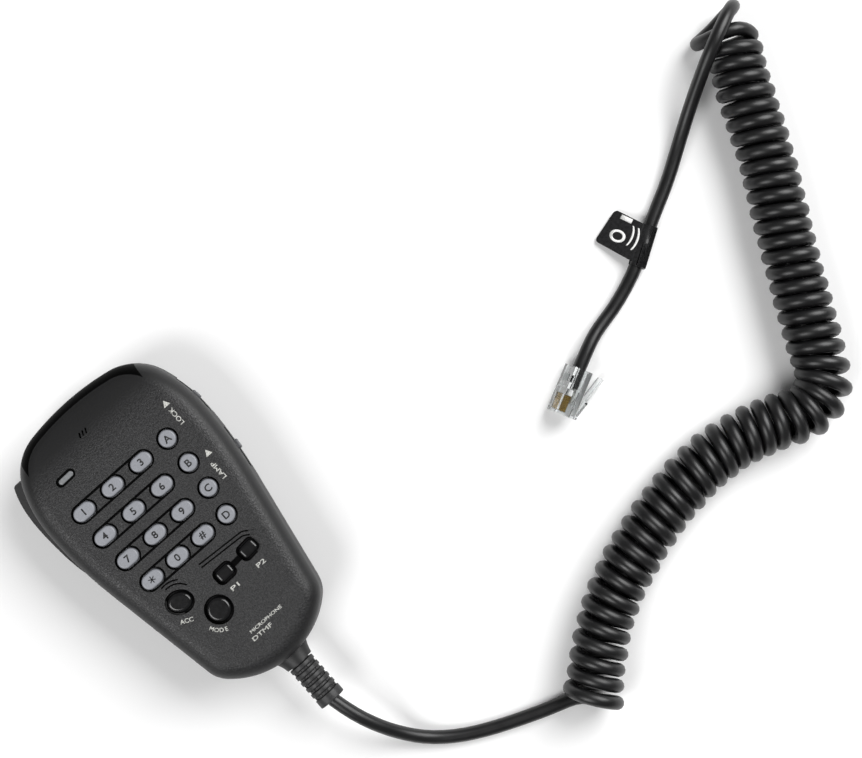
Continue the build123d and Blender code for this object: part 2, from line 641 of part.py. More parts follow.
outlines = []
for edge in (0, FLANGE_EDGE):
    with BuildSketch(Plane.XY.offset(FLANGE_TOP_Z)) as outline:
        with Locations(MODE_PLACE):
            Circle(MODE_RADIUS + edge)
    outlines.append(outline.sketch)
push_button("button_mode", *outlines, BUTTON_TOP_Z, BUTTON_CROWN)

# ---- board and what it carries ----

with BuildPart() as keypad_mat:
    with BuildSketch(Plane.XY.offset(BOARD_TOP_Z)):
        add(case_section(BOARD_EDGE + 1, Plane.XY))
        with Locations(MAT_CUT[0]):
            Rectangle(*MAT_CUT[1], mode=Mode.INTERSECT)
    extrude(amount=MAT_THICK)
finish(keypad_mat.part, "keypad_mat")

with BuildPart() as circuit_board:
    with BuildSketch(Plane.XY.offset(BOARD_TOP_Z)):
        add(case_section(BOARD_EDGE, Plane.XY))
        with Locations(BOARD_CUT[0]):
            Rectangle(*BOARD_CUT[1], mode=Mode.INTERSECT)
        with Locations(*CASE_SCREWS):
            Circle(CASE_BOSS_RADIUS + 0.4, mode=Mode.SUBTRACT)
        with Locations(SLIT_PLACE):
            Circle(BOOT_RADIUS + CAPSULE_RING_WALL + 0.5, mode=Mode.SUBTRACT)
        with Locations(*BOARD_SCREWS):
            Circle(BOARD_SCREW_RADIUS + 0.15, mode=Mode.SUBTRACT)
    extrude(amount=-BOARD_THICK)
finish(circuit_board.part, "circuit_board")

with BuildPart() as encoder_chip:
    with BuildSketch(Plane.XY.offset(BOARD_UNDER_Z)):
        with Locations(CHIP_PLACE):
            with GridLocations(*CHIP_PINS, 8, 2):
                Rectangle(0.7, 1.2)
    extrude(amount=-0.6)
    with BuildSketch(Plane.XY.offset(BOARD_UNDER_Z - 0.3)):
        with Locations(CHIP_PLACE):
            RectangleRounded(*CHIP_BODY[:2], 0.3)
    extrude(amount=-CHIP_BODY[2])
finish(encoder_chip.part, "encoder_chip")

with BuildPart() as crystal:
    with BuildSketch(Plane.XY.offset(BOARD_UNDER_Z)):
        with Locations(CRYSTAL_PLACE):
            SlotOverall(*CRYSTAL_CAN[:2], 90)
    extrude(amount=-CRYSTAL_CAN[2])
    fillet(crystal.faces().sort_by(Axis.Z)[0].edges(), 0.5)
finish(crystal.part, "crystal")

with BuildPart() as board_capacitor:
    with BuildSketch(Plane.XY.offset(BOARD_UNDER_Z)):
        with Locations(CAPACITOR_PLACE):
            Circle(CAPACITOR_CAN[0])
    extrude(amount=-CAPACITOR_CAN[1])
    fillet(board_capacitor.faces().sort_by(Axis.Z)[0].edges(), 0.4)
finish(board_capacitor.part, "board_capacitor")

with BuildPart() as cord_socket:
    with BuildSketch(Plane.XY.offset(BOARD_UNDER_Z)):
        with Locations((0, (SOCKET_Y[0] + SOCKET_Y[1]) / 2)):
            Rectangle(SOCKET_WIDTH, SOCKET_Y[1] - SOCKET_Y[0])
    extrude(amount=PARTING_Z - SOCKET_DROP - BOARD_UNDER_Z)
finish(cord_socket.part, "cord_socket")

with BuildPart() as indicator_led:
    with BuildSketch(Plane.XY.offset(BOARD_TOP_Z)):
        with Locations(LENS_PLACE[:2]):
            Rectangle(*LED_BODY[:2], LENS_PLACE[2])
    extrude(amount=LED_BODY[2])
finish(indicator_led.part, "indicator_led")

with BuildPart() as indicator_lens:
    with BuildSketch(Plane.XY.offset(LENS_FLANGE_Z)):
        with Locations(LENS_PLACE[:2]):
            SlotOverall(LENS_SIZE[0], LENS_SIZE[1], LENS_PLACE[2])
    extrude(amount=LENS_TOP_Z - LENS_FLANGE_Z)
    fillet(indicator_lens.faces().sort_by(Axis.Z)[-1].edges(), 0.4)
    with BuildSketch(Plane.XY.offset(LENS_FLANGE_Z)):
        with Locations(LENS_PLACE[:2]):
            SlotOverall(LENS_SIZE[0] + LENS_FLANGE[0], LENS_SIZE[1] + LENS_FLANGE[0], LENS_PLACE[2])
    extrude(amount=-LENS_FLANGE[1])
finish(indicator_lens.part, "indicator_lens")

with BuildPart() as capsule_boot:
    with BuildSketch(Plane.XY.offset(CAPSULE_Z - 1)):
        with Locations(SLIT_PLACE):
            Circle(BOOT_RADIUS)
    extrude(amount=CAPSULE_HEIGHT + 1.4)
    with BuildSketch(Plane.XY.offset(CAPSULE_Z)):
        with Locations(SLIT_PLACE):
            Circle(CAPSULE_RADIUS)
    extrude(amount=CAPSULE_HEIGHT + 1, mode=Mode.SUBTRACT)
finish(capsule_boot.part, "capsule_boot")

with BuildPart() as mic_capsule:
    with BuildSketch(Plane.XY.offset(CAPSULE_Z)):
        with Locations(SLIT_PLACE):
            Circle(CAPSULE_RADIUS)
    extrude(amount=CAPSULE_HEIGHT)
    fillet(mic_capsule.faces().sort_by(Axis.Z)[-1].edges(), 0.4)
    with BuildSketch(Plane.XY.offset(CAPSULE_Z + CAPSULE_HEIGHT)):
        with Locations(SLIT_PLACE):
            Circle(CAPSULE_HOLE_RADIUS)
            with PolarLocations(CAPSULE_HOLE_CIRCLE, 6):
                Circle(CAPSULE_HOLE_RADIUS)
    extrude(amount=-0.8, mode=Mode.SUBTRACT)
finish(mic_capsule.part, "mic_capsule")

# ---- side and top controls ----

# Push-to-talk lever: hollow behind its finger face, with the hinge knuckle and the rib that
# works the switch.
lever_end_wall = LEVER_WALL - 0.2
with BuildPart() as lever_hollow:
    extrude(
        lever_side(KNUCKLE_RADIUS + 6.5, LEVER_END_Y - LEVER_WALL, SIDE_GAP + lever_end_wall,
                   LEVER_TOP_Z - lever_end_wall), amount=30)
    extrude(lever_outline(LEVER_WALL), amount=30, mode=Mode.INTERSECT)

with BuildPart() as ptt_lever:
    extrude(lever_outline(0), amount=LEVER_TOP_Z)
    add(lever_hollow.part, mode=Mode.SUBTRACT)
    with BuildSketch():
        with Locations(PIVOT):
            Circle(KNUCKLE_RADIUS)
        with Locations((LEVER_INNER_X - 0.2, PIVOT[1] + KNUCKLE_RADIUS)):
            Rectangle(2.0, 3.6)
        with Locations((LEVER_RIB_X, PTT_SWITCH_PLACE[1] + 1)):
            Rectangle(4.4, 2.0, align=(Align.MAX, Align.CENTER))
    extrude(amount=LEVER_TOP_Z)
    extrude(lever_side(-10, 60, SIDE_GAP, LEVER_TOP_Z), amount=30, mode=Mode.INTERSECT)
    with BuildSketch():
        with Locations(PIVOT):
            Circle(PIVOT_PIN_RADIUS + 0.06)
    extrude(amount=PARTING_Z, mode=Mode.SUBTRACT)
    end_edges = ptt_lever.edges().filter_by(Axis.Z).group_by(Axis.Y)[-1]
    fillet(end_edges.sort_by(Axis.X)[0], 1.4)
finish(ptt_lever.part, "ptt_lever")

with BuildPart() as ptt_pivot_pin:
    with BuildSketch(Plane.XY.offset(PIN_SEAT_Z)):
        with Locations(PIVOT):
            Circle(PIVOT_PIN_RADIUS)
    extrude(amount=PARTING_Z + PIN_SOCKET - PIN_SEAT_Z)
finish(ptt_pivot_pin.part, "ptt_pivot_pin")

with BuildPart() as ptt_switch:
    with BuildSketch(Plane.XY.offset(PTT_SWITCH_Z)):
        with Locations(PTT_SWITCH_PLACE):
            RectangleRounded(*PTT_SWITCH, 0.3)
    extrude(amount=PTT_SWITCH_HEIGHT)
    with BuildSketch(Plane.YZ.offset(PTT_SWITCH_PLACE[0] - PTT_SWITCH[0] / 2)):
        with Locations((PTT_SWITCH_PLACE[1] + 1, PTT_SWITCH_Z + PTT_SWITCH_HEIGHT / 2)):
            RectangleRounded(2.4, 3.6, 0.5)
    extrude(amount=-PLUNGER_REACH)
finish(ptt_switch.part, "ptt_switch")

# Slide switches: a slider behind each window, worked by its thumb rib, and the switch body inside.
for name, y, rest, thumb in (("lock", LOCK_Y, -1, 0.6), ("lamp", LAMP_Y, 1, -0.5)):
    wall = side_plane(y)
    middle = rest * SLIDE_TRAVEL / 2
    with BuildPart() as slider:
        with BuildSketch(wall.offset(-SLIDER_DEPTH)):
            with Locations((middle, 0.1)):
                Rectangle(SLIDE_WINDOW[0] + 3, SLIDE_WINDOW[1] - 0.9)
        extrude(amount=-SLIDER_THICK)
        with BuildSketch(wall.offset(-SLIDER_DEPTH)):
            with Locations((middle, -0.1)):
                RectangleRounded(SLIDE_LAND, SLIDE_WINDOW[1] - 1.1, 0.8)
        extrude(amount=SLIDER_DEPTH - SLIDER_SINK)
        with BuildSketch(wall.offset(-SLIDER_SINK)):
            with Locations((middle + thumb, -0.1)):
                RectangleRounded(3.4, SLIDE_WINDOW[1] - 1.8, 0.6)
        extrude(amount=SLIDER_SINK + THUMB_PROUD)
        fillet(slider.faces().sort_by(Axis(wall.origin, wall.z_dir))[-1].edges(), 0.4)
    finish(slider.part, f"{name}_slider")
    with BuildPart() as switch:
        with BuildSketch(wall.offset(-SLIDER_DEPTH - SLIDER_THICK - SIDE_GAP)):
            with Locations((0, BOARD_UNDER_Z - WINDOW_Z)):
                Rectangle(11.6, 5.8, align=(Align.CENTER, Align.MAX))
        extrude(amount=-3.6)
    finish(switch.part, f"{name}_switch")

# Up and down buttons in the top wall, pushed in along -Y.
for name, x in (("up_button", UP_DOWN_X), ("down_button", -UP_DOWN_X)):
    with BuildPart() as button:
        inner_face = Plane(origin=(x, UP_DOWN_FLANGE_Y, UP_DOWN_Z), x_dir=(-1, 0, 0), z_dir=(0, 1, 0))
        with BuildSketch(inner_face):
            SlotOverall(*UP_DOWN_SIZE)
        extrude(amount=UP_DOWN_FACE_Y - UP_DOWN_FLANGE_Y)
        fillet(button.faces().sort_by(Axis.Y)[-1].edges(), 0.7)
        with BuildSketch(inner_face):
            SlotOverall(UP_DOWN_SIZE[0] + 1.6, UP_DOWN_SIZE[1] + 1.6)
        extrude(amount=-FLANGE_EDGE)
    finish(button.part, name)

with BuildPart() as switch_board:
    with BuildSketch(Plane.XY.offset(WALL + 0.5)):
        with Locations((0, SWITCH_BOARD_Y)):
            Rectangle(SWITCH_BOARD[0], SWITCH_BOARD[1])
    extrude(amount=SWITCH_BOARD[2] - WALL - 0.5)
finish(switch_board.part, "switch_board")

with BuildPart() as top_switches:
    board_front = Plane(
        origin=(0, SWITCH_BOARD_Y + SWITCH_BOARD[1] / 2, UP_DOWN_Z), x_dir=(-1, 0, 0), z_dir=(0, 1, 0))
    with BuildSketch(board_front):
        with Locations((-UP_DOWN_X, 0), (UP_DOWN_X, 0)):
            RectangleRounded(6, 6, 0.3)
    extrude(amount=3.2)
    with BuildSketch(board_front.offset(3.2)):
        with Locations((-UP_DOWN_X, 0), (UP_DOWN_X, 0)):
            Circle(1.5)
    extrude(amount=0.7)
finish(top_switches.part, "top_switches")

# ---- hanger button and fasteners ----

with BuildPart() as hanger_button:
    with BuildSketch():
        Circle(BUTTON_HEAD_RADIUS)
    extrude(amount=BUTTON_HEAD_THICK)
    fillet(hanger_button.edges(), 0.4)
    with BuildSketch(Plane.XY.offset(BUTTON_HEAD_THICK)):
        Circle(BUTTON_NECK_RADIUS)
    extrude(amount=SPOT_FACE_Z - BUTTON_HEAD_THICK)
    with BuildSketch(Plane.XY.offset(SPOT_FACE_Z)):
        Circle(HANGER_SCREW_RADIUS)
    extrude(amount=-HANGER_SCREW_BITE - 0.2, mode=Mode.SUBTRACT)
finish(hanger_button.part, "hanger_button")

with BuildPart() as hanger_screw:
    with BuildSketch(Plane.XY.offset(HANGER_BOSS_Z)):
        Circle(HANGER_SCREW_HEAD[0])
    extrude(amount=HANGER_SCREW_HEAD[1])
    fillet(hanger_screw.faces().sort_by(Axis.Z)[-1].edges(), 0.7)
    with BuildSketch(Plane.XY.offset(HANGER_BOSS_Z)):
        Circle(HANGER_SCREW_RADIUS)
    extrude(amount=SPOT_FACE_Z - HANGER_SCREW_BITE - HANGER_BOSS_Z)
finish(hanger_screw.part, "hanger_screw")


def upward_screws(name, places, bearing_z, head_radius, head_thick, shank_radius, reach):
    """Cross-head screws driven upwards: each head bears at bearing_z(y)."""
    with BuildPart() as screws:
        for x, y in places:
            with BuildSketch(Plane.XY.offset(bearing_z(y))):
                with Locations((x, y)):
                    Circle(head_radius)
            extrude(amount=-head_thick)
        outer_rims = [edge for edge in screws.edges() if edge.center().Z < bearing_z(edge.center().Y) - 0.1]
        fillet([edge for edge in outer_rims if edge.geom_type == GeomType.CIRCLE], head_thick * 0.4)
        for x, y in places:
            with BuildSketch(Plane.XY.offset(bearing_z(y))):
                with Locations((x, y)):
                    Circle(shank_radius)
            extrude(amount=reach)
            with BuildSketch(Plane.XY.offset(bearing_z(y) - head_thick)):
                with Locations((x, y)):
                    Rectangle(head_radius * 1.2, head_radius * 0.25)
                    Rectangle(head_radius * 0.25, head_radius * 1.2)
            extrude(amount=head_thick * 0.6, mode=Mode.SUBTRACT)
    finish(screws.part, name)


upward_screws(
    "case_screws", CASE_SCREWS, case_head_z, SCREW_HEAD_RADIUS, SCREW_HEAD_THICK,
    CASE_SCREW_RADIUS, CASE_SCREW_LENGTH)
upward_screws(
    "board_screws", BOARD_SCREWS, lambda y: BOARD_UNDER_Z, 2 * BOARD_SCREW_RADIUS, 1.2,
    BOARD_SCREW_RADIUS, BOARD_THICK + BOARD_SCREW_REACH - 0.3)

# ---- strain relief and the cord inside the case ----

# Turned form about the cord's line: inner flange, neck, five ribs and the end collar.
with BuildPart() as strain_relief:
    for low_y, high_y, radius in (
        (RELIEF_END_Y, RELIEF_FLANGE_Y, RELIEF_CORE_RADIUS),
        (RELIEF_FIRST_RIB_Y + 0.8, RELIEF_FLANGE_Y, RELIEF_NECK_RADIUS),
        (RELIEF_END_Y, RELIEF_END_Y + 3.0, RELIEF_RIB_RADIUS + 0.1),
    ):
        with BuildSketch(across(high_y)):
            Circle(radius)
        extrude(amount=high_y - low_y)
    for i in range(RELIEF_RIBS):
        with BuildSketch(across(RELIEF_FIRST_RIB_Y - i * RELIEF_PITCH)):
            Circle(RELIEF_RIB_RADIUS)
        extrude(amount=RELIEF_RIB_WIDTH / 2, both=True)
    rims = strain_relief.edges().filter_by(GeomType.CIRCLE).filter_by(
        lambda edge: edge.radius >= RELIEF_RIB_RADIUS and edge.center().Y < RELIEF_FIRST_RIB_Y + 1)
    fillet(rims, 0.35)
    with BuildSketch(across(RELIEF_FLANGE_Y)):
        RectangleRounded(*RELIEF_FLANGE, 1.5)
    extrude(amount=RELIEF_FLANGE_THICK)
    with BuildSketch(across(RELIEF_FLANGE_Y)):
        Circle(CORD_RADIUS)
    extrude(amount=RELIEF_FLANGE_Y - RELIEF_END_Y, mode=Mode.SUBTRACT)
finish(strain_relief.part, "strain_relief")

with BuildPart() as cord_inner_end:
    with BuildSketch(across(CORD_INNER_Y)):
        Circle(CORD_RADIUS)
    extrude(amount=CORD_INNER_Y - RELIEF_END_Y)
finish(cord_inner_end.part, "cord_inner_end")

# Six conductors, gathered where the jacket ends and spread to the pins of the socket.
with BuildPart() as cord_wires:
    for i in range(6):
        with BuildSketch(across(CORD_INNER_Y)):
            with Locations(((i - 2.5) * WIRE_BUNCH, WIRE_BUNCH * (-1) ** i)):
                Circle(WIRE_RADIUS)
        with BuildSketch(across(SOCKET_Y[0])):
            with Locations(((i - 2.5) * WIRE_PITCH, 0)):
                Circle(WIRE_RADIUS)
        loft()
finish(cord_wires.part, "cord_wires")

# ---- free cord ----


def cord_tube(name, points, radius):
    """Tube along straight runs joined by arcs, each arc as large as its two runs allow."""
    corners = [Vector(*point) for point in points]
    runs = [after - before for before, after in zip(corners, corners[1:])]
    radii = []
    for before, after in zip(runs, runs[1:]):
        half_turn = radians(before.get_angle(after) / 2)
        radii.append(0.45 * min(before.length, after.length) / tan(half_turn))
    with BuildPart() as tube:
        with BuildLine():
            route = FilletPolyline(*points, radius=radii)
        with BuildSketch(Plane(origin=points[0], z_dir=runs[0])):
            Circle(radius)
        sweep(path=route)
    swept = radius ** 2 * pi * route.length
    print(f"{name}: length {route.length:.1f}, volume {tube.part.volume:.0f} of {swept:.0f}")
    print("  arc radii " + " ".join(f"{arc:.1f}" for arc in radii))
    finish(tube.part, name)


cord_tube("cord_lead_handset", HANDSET_LEAD, CORD_RADIUS)
cord_tube("cord_coil", [(x, y, COIL_Z) for x, y in COIL_AXIS], COIL_RADIUS)
cord_tube("cord_lead_plug", PLUG_LEAD, CORD_RADIUS)

# Label folded round the cord: a sleeve along the straight of the lead, and its flag.
tag_run = [Vector(*PLUG_LEAD[6]), Vector(*PLUG_LEAD[7])]
tag_line = (tag_run[1] - tag_run[0]).normalized()
tag_start = Plane(origin=(tag_run[0] + tag_run[1]) / 2 - tag_line * TAG_SLEEVE[1] / 2, z_dir=tag_line)
with BuildPart() as cord_tag:
    with BuildSketch(tag_start):
        Circle(TAG_SLEEVE[0])
    extrude(amount=TAG_SLEEVE[1])
    with BuildSketch(Plane.XY.offset(TAG_FLAG_Z)):
        with BuildLine():
            Polyline(*TAG_FLAG, close=True)
        make_face()
    extrude(amount=TAG_FLAG_THICK)
    with BuildSketch(tag_start):
        Circle(CORD_RADIUS)
    extrude(amount=TAG_SLEEVE[1], mode=Mode.SUBTRACT)
finish(cord_tag.part, "cord_tag")

# ---- modular plug: local x runs back from its tip, local z is the contact side ----

heading = radians(PLUG_HEADING)
roll = radians(PLUG_ROLL)
plug_plane = Plane(
    origin=PLUG_TIP,
    x_dir=(-cos(heading), -sin(heading), 0),
    z_dir=(sin(heading) * cos(roll), -cos(heading) * cos(roll), sin(roll)))
plug_rear = Plane(
    origin=plug_plane.from_local_coords((PLUG_SIZE[0], 0, 0)), x_dir=-plug_plane.y_dir,
    z_dir=-plug_plane.x_dir)

with BuildPart() as plug_body:
    with BuildSketch(plug_rear):
        Rectangle(PLUG_SIZE[2], PLUG_SIZE[1])
    extrude(amount=PLUG_SIZE[0])
    chamfer(plug_body.edges().filter_by(Axis(PLUG_TIP, plug_plane.x_dir)), PLUG_CHAMFER)
    # Root of the latch under the nose.
    with BuildSketch(plug_plane.offset(-PLUG_SIZE[1] / 2)):
        Rectangle(*LATCH_ROOT, align=(Align.MIN, Align.CENTER))
    extrude(amount=PLUG_SIZE[1] / 2 - LATCH_DROP - LATCH_THICK / 2)
    # Cavity for the jacket, stepping down to the slot that holds the conductors.
    with BuildSketch(plug_rear):
        RectangleRounded(*PLUG_CAVITY[:2], 0.5)
    extrude(amount=PLUG_CAVITY[2], mode=Mode.SUBTRACT)
    with BuildSketch(plug_rear):
        with Locations((0, CONDUCTOR_LEVEL)):
            Rectangle(*CONDUCTOR_SLOT[:2])
    extrude(amount=CONDUCTOR_SLOT[2], mode=Mode.SUBTRACT)
    # Slots for the six contacts, and the crimp window.
    with BuildSketch(plug_plane.offset(CONTACT_SLOT[2])):
        with Locations((CONTACT_SLOT[0], 0)):
            with GridLocations(0, CONTACT_PITCH, 1, 6):
                Rectangle(CONTACT_SLOT[1], CONTACT_THICK + 0.14, align=(Align.MIN, Align.CENTER))
    extrude(amount=PLUG_SIZE[1], mode=Mode.SUBTRACT)
    with BuildSketch(plug_plane.offset(PLUG_SIZE[1] / 2)):
        with Locations((CRIMP_WINDOW[0], 0)):
            Rectangle(*CRIMP_WINDOW[1:3])
    extrude(amount=-CRIMP_WINDOW[3], mode=Mode.SUBTRACT)
finish(plug_body.part, "plug_body")

with BuildPart() as plug_contacts:
    with BuildSketch(plug_plane.offset(CONTACT_BLADE[2])):
        with Locations((CONTACT_BLADE[0], 0)):
            with GridLocations(0, CONTACT_PITCH, 1, 6):
                Rectangle(CONTACT_BLADE[1], CONTACT_THICK, align=(Align.MIN, Align.CENTER))
    extrude(amount=CONTACT_BLADE[3])
finish(plug_contacts.part, "plug_contacts")

with BuildPart() as plug_conductors:
    with BuildSketch(plug_rear.offset(PLUG_SIZE[0] - JACKET_END_X)):
        with Locations((0, CONDUCTOR_LEVEL)):
            with GridLocations(CONTACT_PITCH, 0, 6, 1):
                Circle(CONDUCTOR_RADIUS)
    extrude(amount=JACKET_END_X - CONDUCTOR_END_X)
finish(plug_conductors.part, "plug_conductors")

with BuildPart() as plug_jacket_end:
    with BuildSketch(plug_rear):
        RectangleRounded(*JACKET_END, 1.2)
    extrude(amount=PLUG_SIZE[0] - JACKET_END_X)
finish(plug_jacket_end.part, "plug_jacket_end")

latch_turn = radians(LATCH_ANGLE)
latch_plane = Plane(
    origin=plug_plane.from_local_coords((LATCH_HINGE_X, 0, -LATCH_DROP)),
    x_dir=plug_plane.x_dir * cos(latch_turn) - plug_plane.z_dir * sin(latch_turn),
    z_dir=plug_plane.z_dir * cos(latch_turn) + plug_plane.x_dir * sin(latch_turn))
with BuildPart() as plug_latch:
    with BuildSketch(latch_plane.offset(-LATCH_THICK / 2)):
        with BuildLine():
            foot, tongue = LATCH_HALF_WIDTHS
            Polyline(
                (0, -foot), (LATCH_NARROWS[0], -foot), (LATCH_NARROWS[1], -tongue), (LATCH_LENGTH, -tongue),
                (LATCH_LENGTH, tongue), (LATCH_NARROWS[1], tongue), (LATCH_NARROWS[0], foot), (0, foot),
                close=True)
        make_face()
    extrude(amount=LATCH_THICK)
finish(plug_latch.part, "plug_latch")
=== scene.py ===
from math import atan2, cos, pi, radians, sin, tau

import bpy
from mathutils import Matrix, Vector


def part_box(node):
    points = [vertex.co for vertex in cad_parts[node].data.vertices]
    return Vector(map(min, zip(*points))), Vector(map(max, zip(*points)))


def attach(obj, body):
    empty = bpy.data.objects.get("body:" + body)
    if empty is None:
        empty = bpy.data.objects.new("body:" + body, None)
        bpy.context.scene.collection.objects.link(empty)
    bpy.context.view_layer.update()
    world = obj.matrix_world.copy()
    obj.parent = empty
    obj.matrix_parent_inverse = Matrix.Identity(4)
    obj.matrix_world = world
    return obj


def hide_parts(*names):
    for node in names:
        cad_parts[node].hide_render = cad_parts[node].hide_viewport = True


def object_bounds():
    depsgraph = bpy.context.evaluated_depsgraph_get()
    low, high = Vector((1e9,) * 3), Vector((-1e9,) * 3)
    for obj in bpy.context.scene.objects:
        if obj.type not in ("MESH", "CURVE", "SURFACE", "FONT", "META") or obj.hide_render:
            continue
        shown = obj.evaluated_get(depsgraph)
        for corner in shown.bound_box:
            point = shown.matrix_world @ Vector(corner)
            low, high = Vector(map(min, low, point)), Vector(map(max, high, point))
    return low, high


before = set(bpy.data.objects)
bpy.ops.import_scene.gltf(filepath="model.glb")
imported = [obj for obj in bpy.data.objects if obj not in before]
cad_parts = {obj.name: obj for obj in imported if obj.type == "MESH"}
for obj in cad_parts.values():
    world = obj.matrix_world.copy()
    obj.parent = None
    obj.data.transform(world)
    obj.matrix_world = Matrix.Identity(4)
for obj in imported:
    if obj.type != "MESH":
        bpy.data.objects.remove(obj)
cad_box = [list(corner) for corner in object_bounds()]
bpy.ops.object.select_all(action="DESELECT")

# ---- camera, table and lights ----
# The microphone and its cord lie on a white table, seen from straight above and turned on it. Two
# large softboxes face each other across the cord, so that every turn carries two soft highlights.

CAMERA_LENS_MM = 81.05
CAMERA_SENSOR_MM = 36.0
CAMERA_PLACE = (0.092, -0.0186, 0.640)
CAMERA_TURN = radians(-41.35)
TABLE_SIZE = 6
SKY_STRENGTH = 0.18
camera_data = bpy.data.cameras.new("camera")
camera_data.lens = CAMERA_LENS_MM
camera_data.sensor_width = CAMERA_SENSOR_MM
camera = bpy.data.objects.new("camera", camera_data)
camera.location = CAMERA_PLACE
camera.rotation_euler = (0, 0, CAMERA_TURN)
bpy.context.collection.objects.link(camera)
bpy.context.scene.camera = camera
bpy.context.scene.view_settings.view_transform = "Standard"


def linear(code):
    """Linear red, green, blue and a full alpha from an sRGB hex code."""
    channels = [int(code[i:i + 2], 16) / 255 for i in (1, 3, 5)]
    return [c / 12.92 if c <= 0.04045 else ((c + 0.055) / 1.055) ** 2.4 for c in channels] + [1.0]


def new_material(name, **constants):
    """A material on one Principled shader, with constants set on the shader's own sockets."""
    material = bpy.data.materials.new(name)
    material.use_nodes = True
    shader = material.node_tree.nodes["Principled BSDF"]
    for socket, value in constants.items():
        shader.inputs[socket.replace("_", " ")].default_value = value
    return material, shader


def add_node(material, kind, inputs=None, **settings):
    """Add a node with its settings; each of its inputs is given a value or a socket to follow."""
    node = material.node_tree.nodes.new(kind)
    for name, value in settings.items():
        setattr(node, name, value)
    for name, value in (inputs or {}).items():
        if isinstance(value, bpy.types.NodeSocket):
            material.node_tree.links.new(value, node.inputs[name])
        else:
            node.inputs[name].default_value = value
    return node


white_laminate, shader = new_material("white_laminate", Roughness=0.6)
shader.inputs["Base Color"].default_value = linear("#F4F4F4")

middle = (Vector(cad_box[0]) + Vector(cad_box[1])) / 2
bpy.ops.mesh.primitive_plane_add(size=TABLE_SIZE, location=(middle.x, middle.y, 0))
table = bpy.context.object
table.name = "table"
table.data.materials.append(white_laminate)

world = bpy.data.worlds.new("studio")
bpy.context.scene.world = world
world.use_nodes = True
world.node_tree.nodes["Background"].inputs["Color"].default_value = linear("#FFFFFF")
world.node_tree.nodes["Background"].inputs["Strength"].default_value = SKY_STRENGTH


def softbox(name, direction, distance, size, power):
    """A square light of that size, at a distance along direction, facing the middle of the object."""
    light_data = bpy.data.lights.new(name, "AREA")
    light_data.shape = "SQUARE"
    light_data.size = size
    light_data.energy = power
    light = bpy.data.objects.new(name, light_data)
    towards = Vector(direction).normalized()
    light.location = middle + towards * distance
    light.rotation_euler = towards.to_track_quat("Z", "Y").to_euler()
    bpy.context.collection.objects.link(light)


softbox("softbox_right", (1.03, 0.07, 1.0), 1.3, 1.0, 22)
softbox("softbox_left", (-0.85, -0.05, 1.0), 1.3, 0.7, 10)

# ---- cord ----
# A six-core cord with a glossy black PVC jacket, 4.6 mm thick. It leaves the strain relief, drops
# to the table, is wound into a left-handed curly cord, and crosses its own last turn to the plug.

CORD_DIAMETER = 0.0046
HANDSET_LEAD = [          # from the strain relief to the coil
    (0.0, -0.0752, 0.014),
    (0.0015, -0.0820, 0.014),
    (0.0046, -0.0910, 0.0110),
    (0.0082, -0.0989, 0.0060),
    (0.0135, -0.1064, 0.0029),
    (0.0216, -0.1129, 0.00235),
    (0.0312, -0.1180, 0.00235),
    (0.0414, -0.1223, 0.00235),
    (0.0508, -0.1259, 0.0024),
    (0.0600, -0.1288, 0.0024),
]
COIL_HEIGHT = 0.00965
COIL_AXIS = [
    (0.0613, -0.1326, COIL_HEIGHT),
    (0.0725, -0.1223, COIL_HEIGHT),
    (0.0880, -0.1110, COIL_HEIGHT),
    (0.1080, -0.1032, COIL_HEIGHT),
    (0.1300, -0.0983, COIL_HEIGHT),
    (0.1485, -0.0978, COIL_HEIGHT),
    (0.1645, -0.1020, COIL_HEIGHT),
    (0.1767, -0.1075, COIL_HEIGHT),
    (0.1831, -0.1067, COIL_HEIGHT),
    (0.1883, -0.1029, COIL_HEIGHT),
    (0.1925, -0.0936, COIL_HEIGHT),
    (0.2015, -0.0750, COIL_HEIGHT),
    (0.2115, -0.0549, COIL_HEIGHT),
    (0.2215, -0.0366, COIL_HEIGHT),
    (0.2290, -0.0183, COIL_HEIGHT),
    (0.2344, -0.0069, COIL_HEIGHT),
    (0.2405, 0.0040, COIL_HEIGHT),
]
LAST_TURN = [             # the loose turn at the coil's end, from its right flank over and round
    (0.2424, 0.0001, 0.0138),
    (0.2385, 0.0022, 0.0152),
    (0.2340, 0.0040, 0.0135),
    (0.2302, 0.0054, 0.0098),
    (0.2290, 0.0062, 0.0054),
    (0.2316, 0.0063, 0.0024),
    (0.2368, 0.0064, 0.0024),
    (0.2425, 0.0071, 0.0040),
    (0.2458, 0.0074, 0.0082),
    (0.2450, 0.0076, 0.0132),
    (0.2408, 0.0066, 0.0172),
]
PLUG_LEAD = [             # over the coil's left side, down to the table and on to the plug
    (0.2342, 0.0038, 0.0194),
    (0.2272, 0.0004, 0.0180),
    (0.2208, -0.0034, 0.0131),
    (0.2128, -0.0085, 0.0070),
    (0.2034, -0.0147, 0.0034),
    (0.1925, -0.0216, 0.0029),
    (0.1798, -0.0278, 0.00285),
    (0.1663, -0.0359, 0.00285),
    (0.1533, -0.0407, 0.0026),
    (0.1432, -0.0425, 0.0040),
    (0.13644, -0.04515, 0.00575),
    (0.13062, -0.04804, 0.00575),
]
COIL_WIND = 0.0073        # radius of the helix that the cord's own middle follows
TURNS = 48                # whole turns; the helix starts under the coil and ends on its right flank
PITCHES = [               # distance along the coil's axis and pitch of the turns there
    (0.000, 0.0055),
    (0.090, 0.0055),
    (0.104, 0.0051),
    (0.116, 0.0053),
    (0.130, 0.0058),
    (0.146, 0.0055),
    (0.160, 0.0051),
    (0.260, 0.00495),
]
STEPS_PER_TURN = 16
FIRST_PHASE = pi + 0.35
LAST_PHASE = 1.5 * pi
HELIX_SPAN = (0.0007, 0.2530)       # distances along the coil's axis where the helix starts and ends
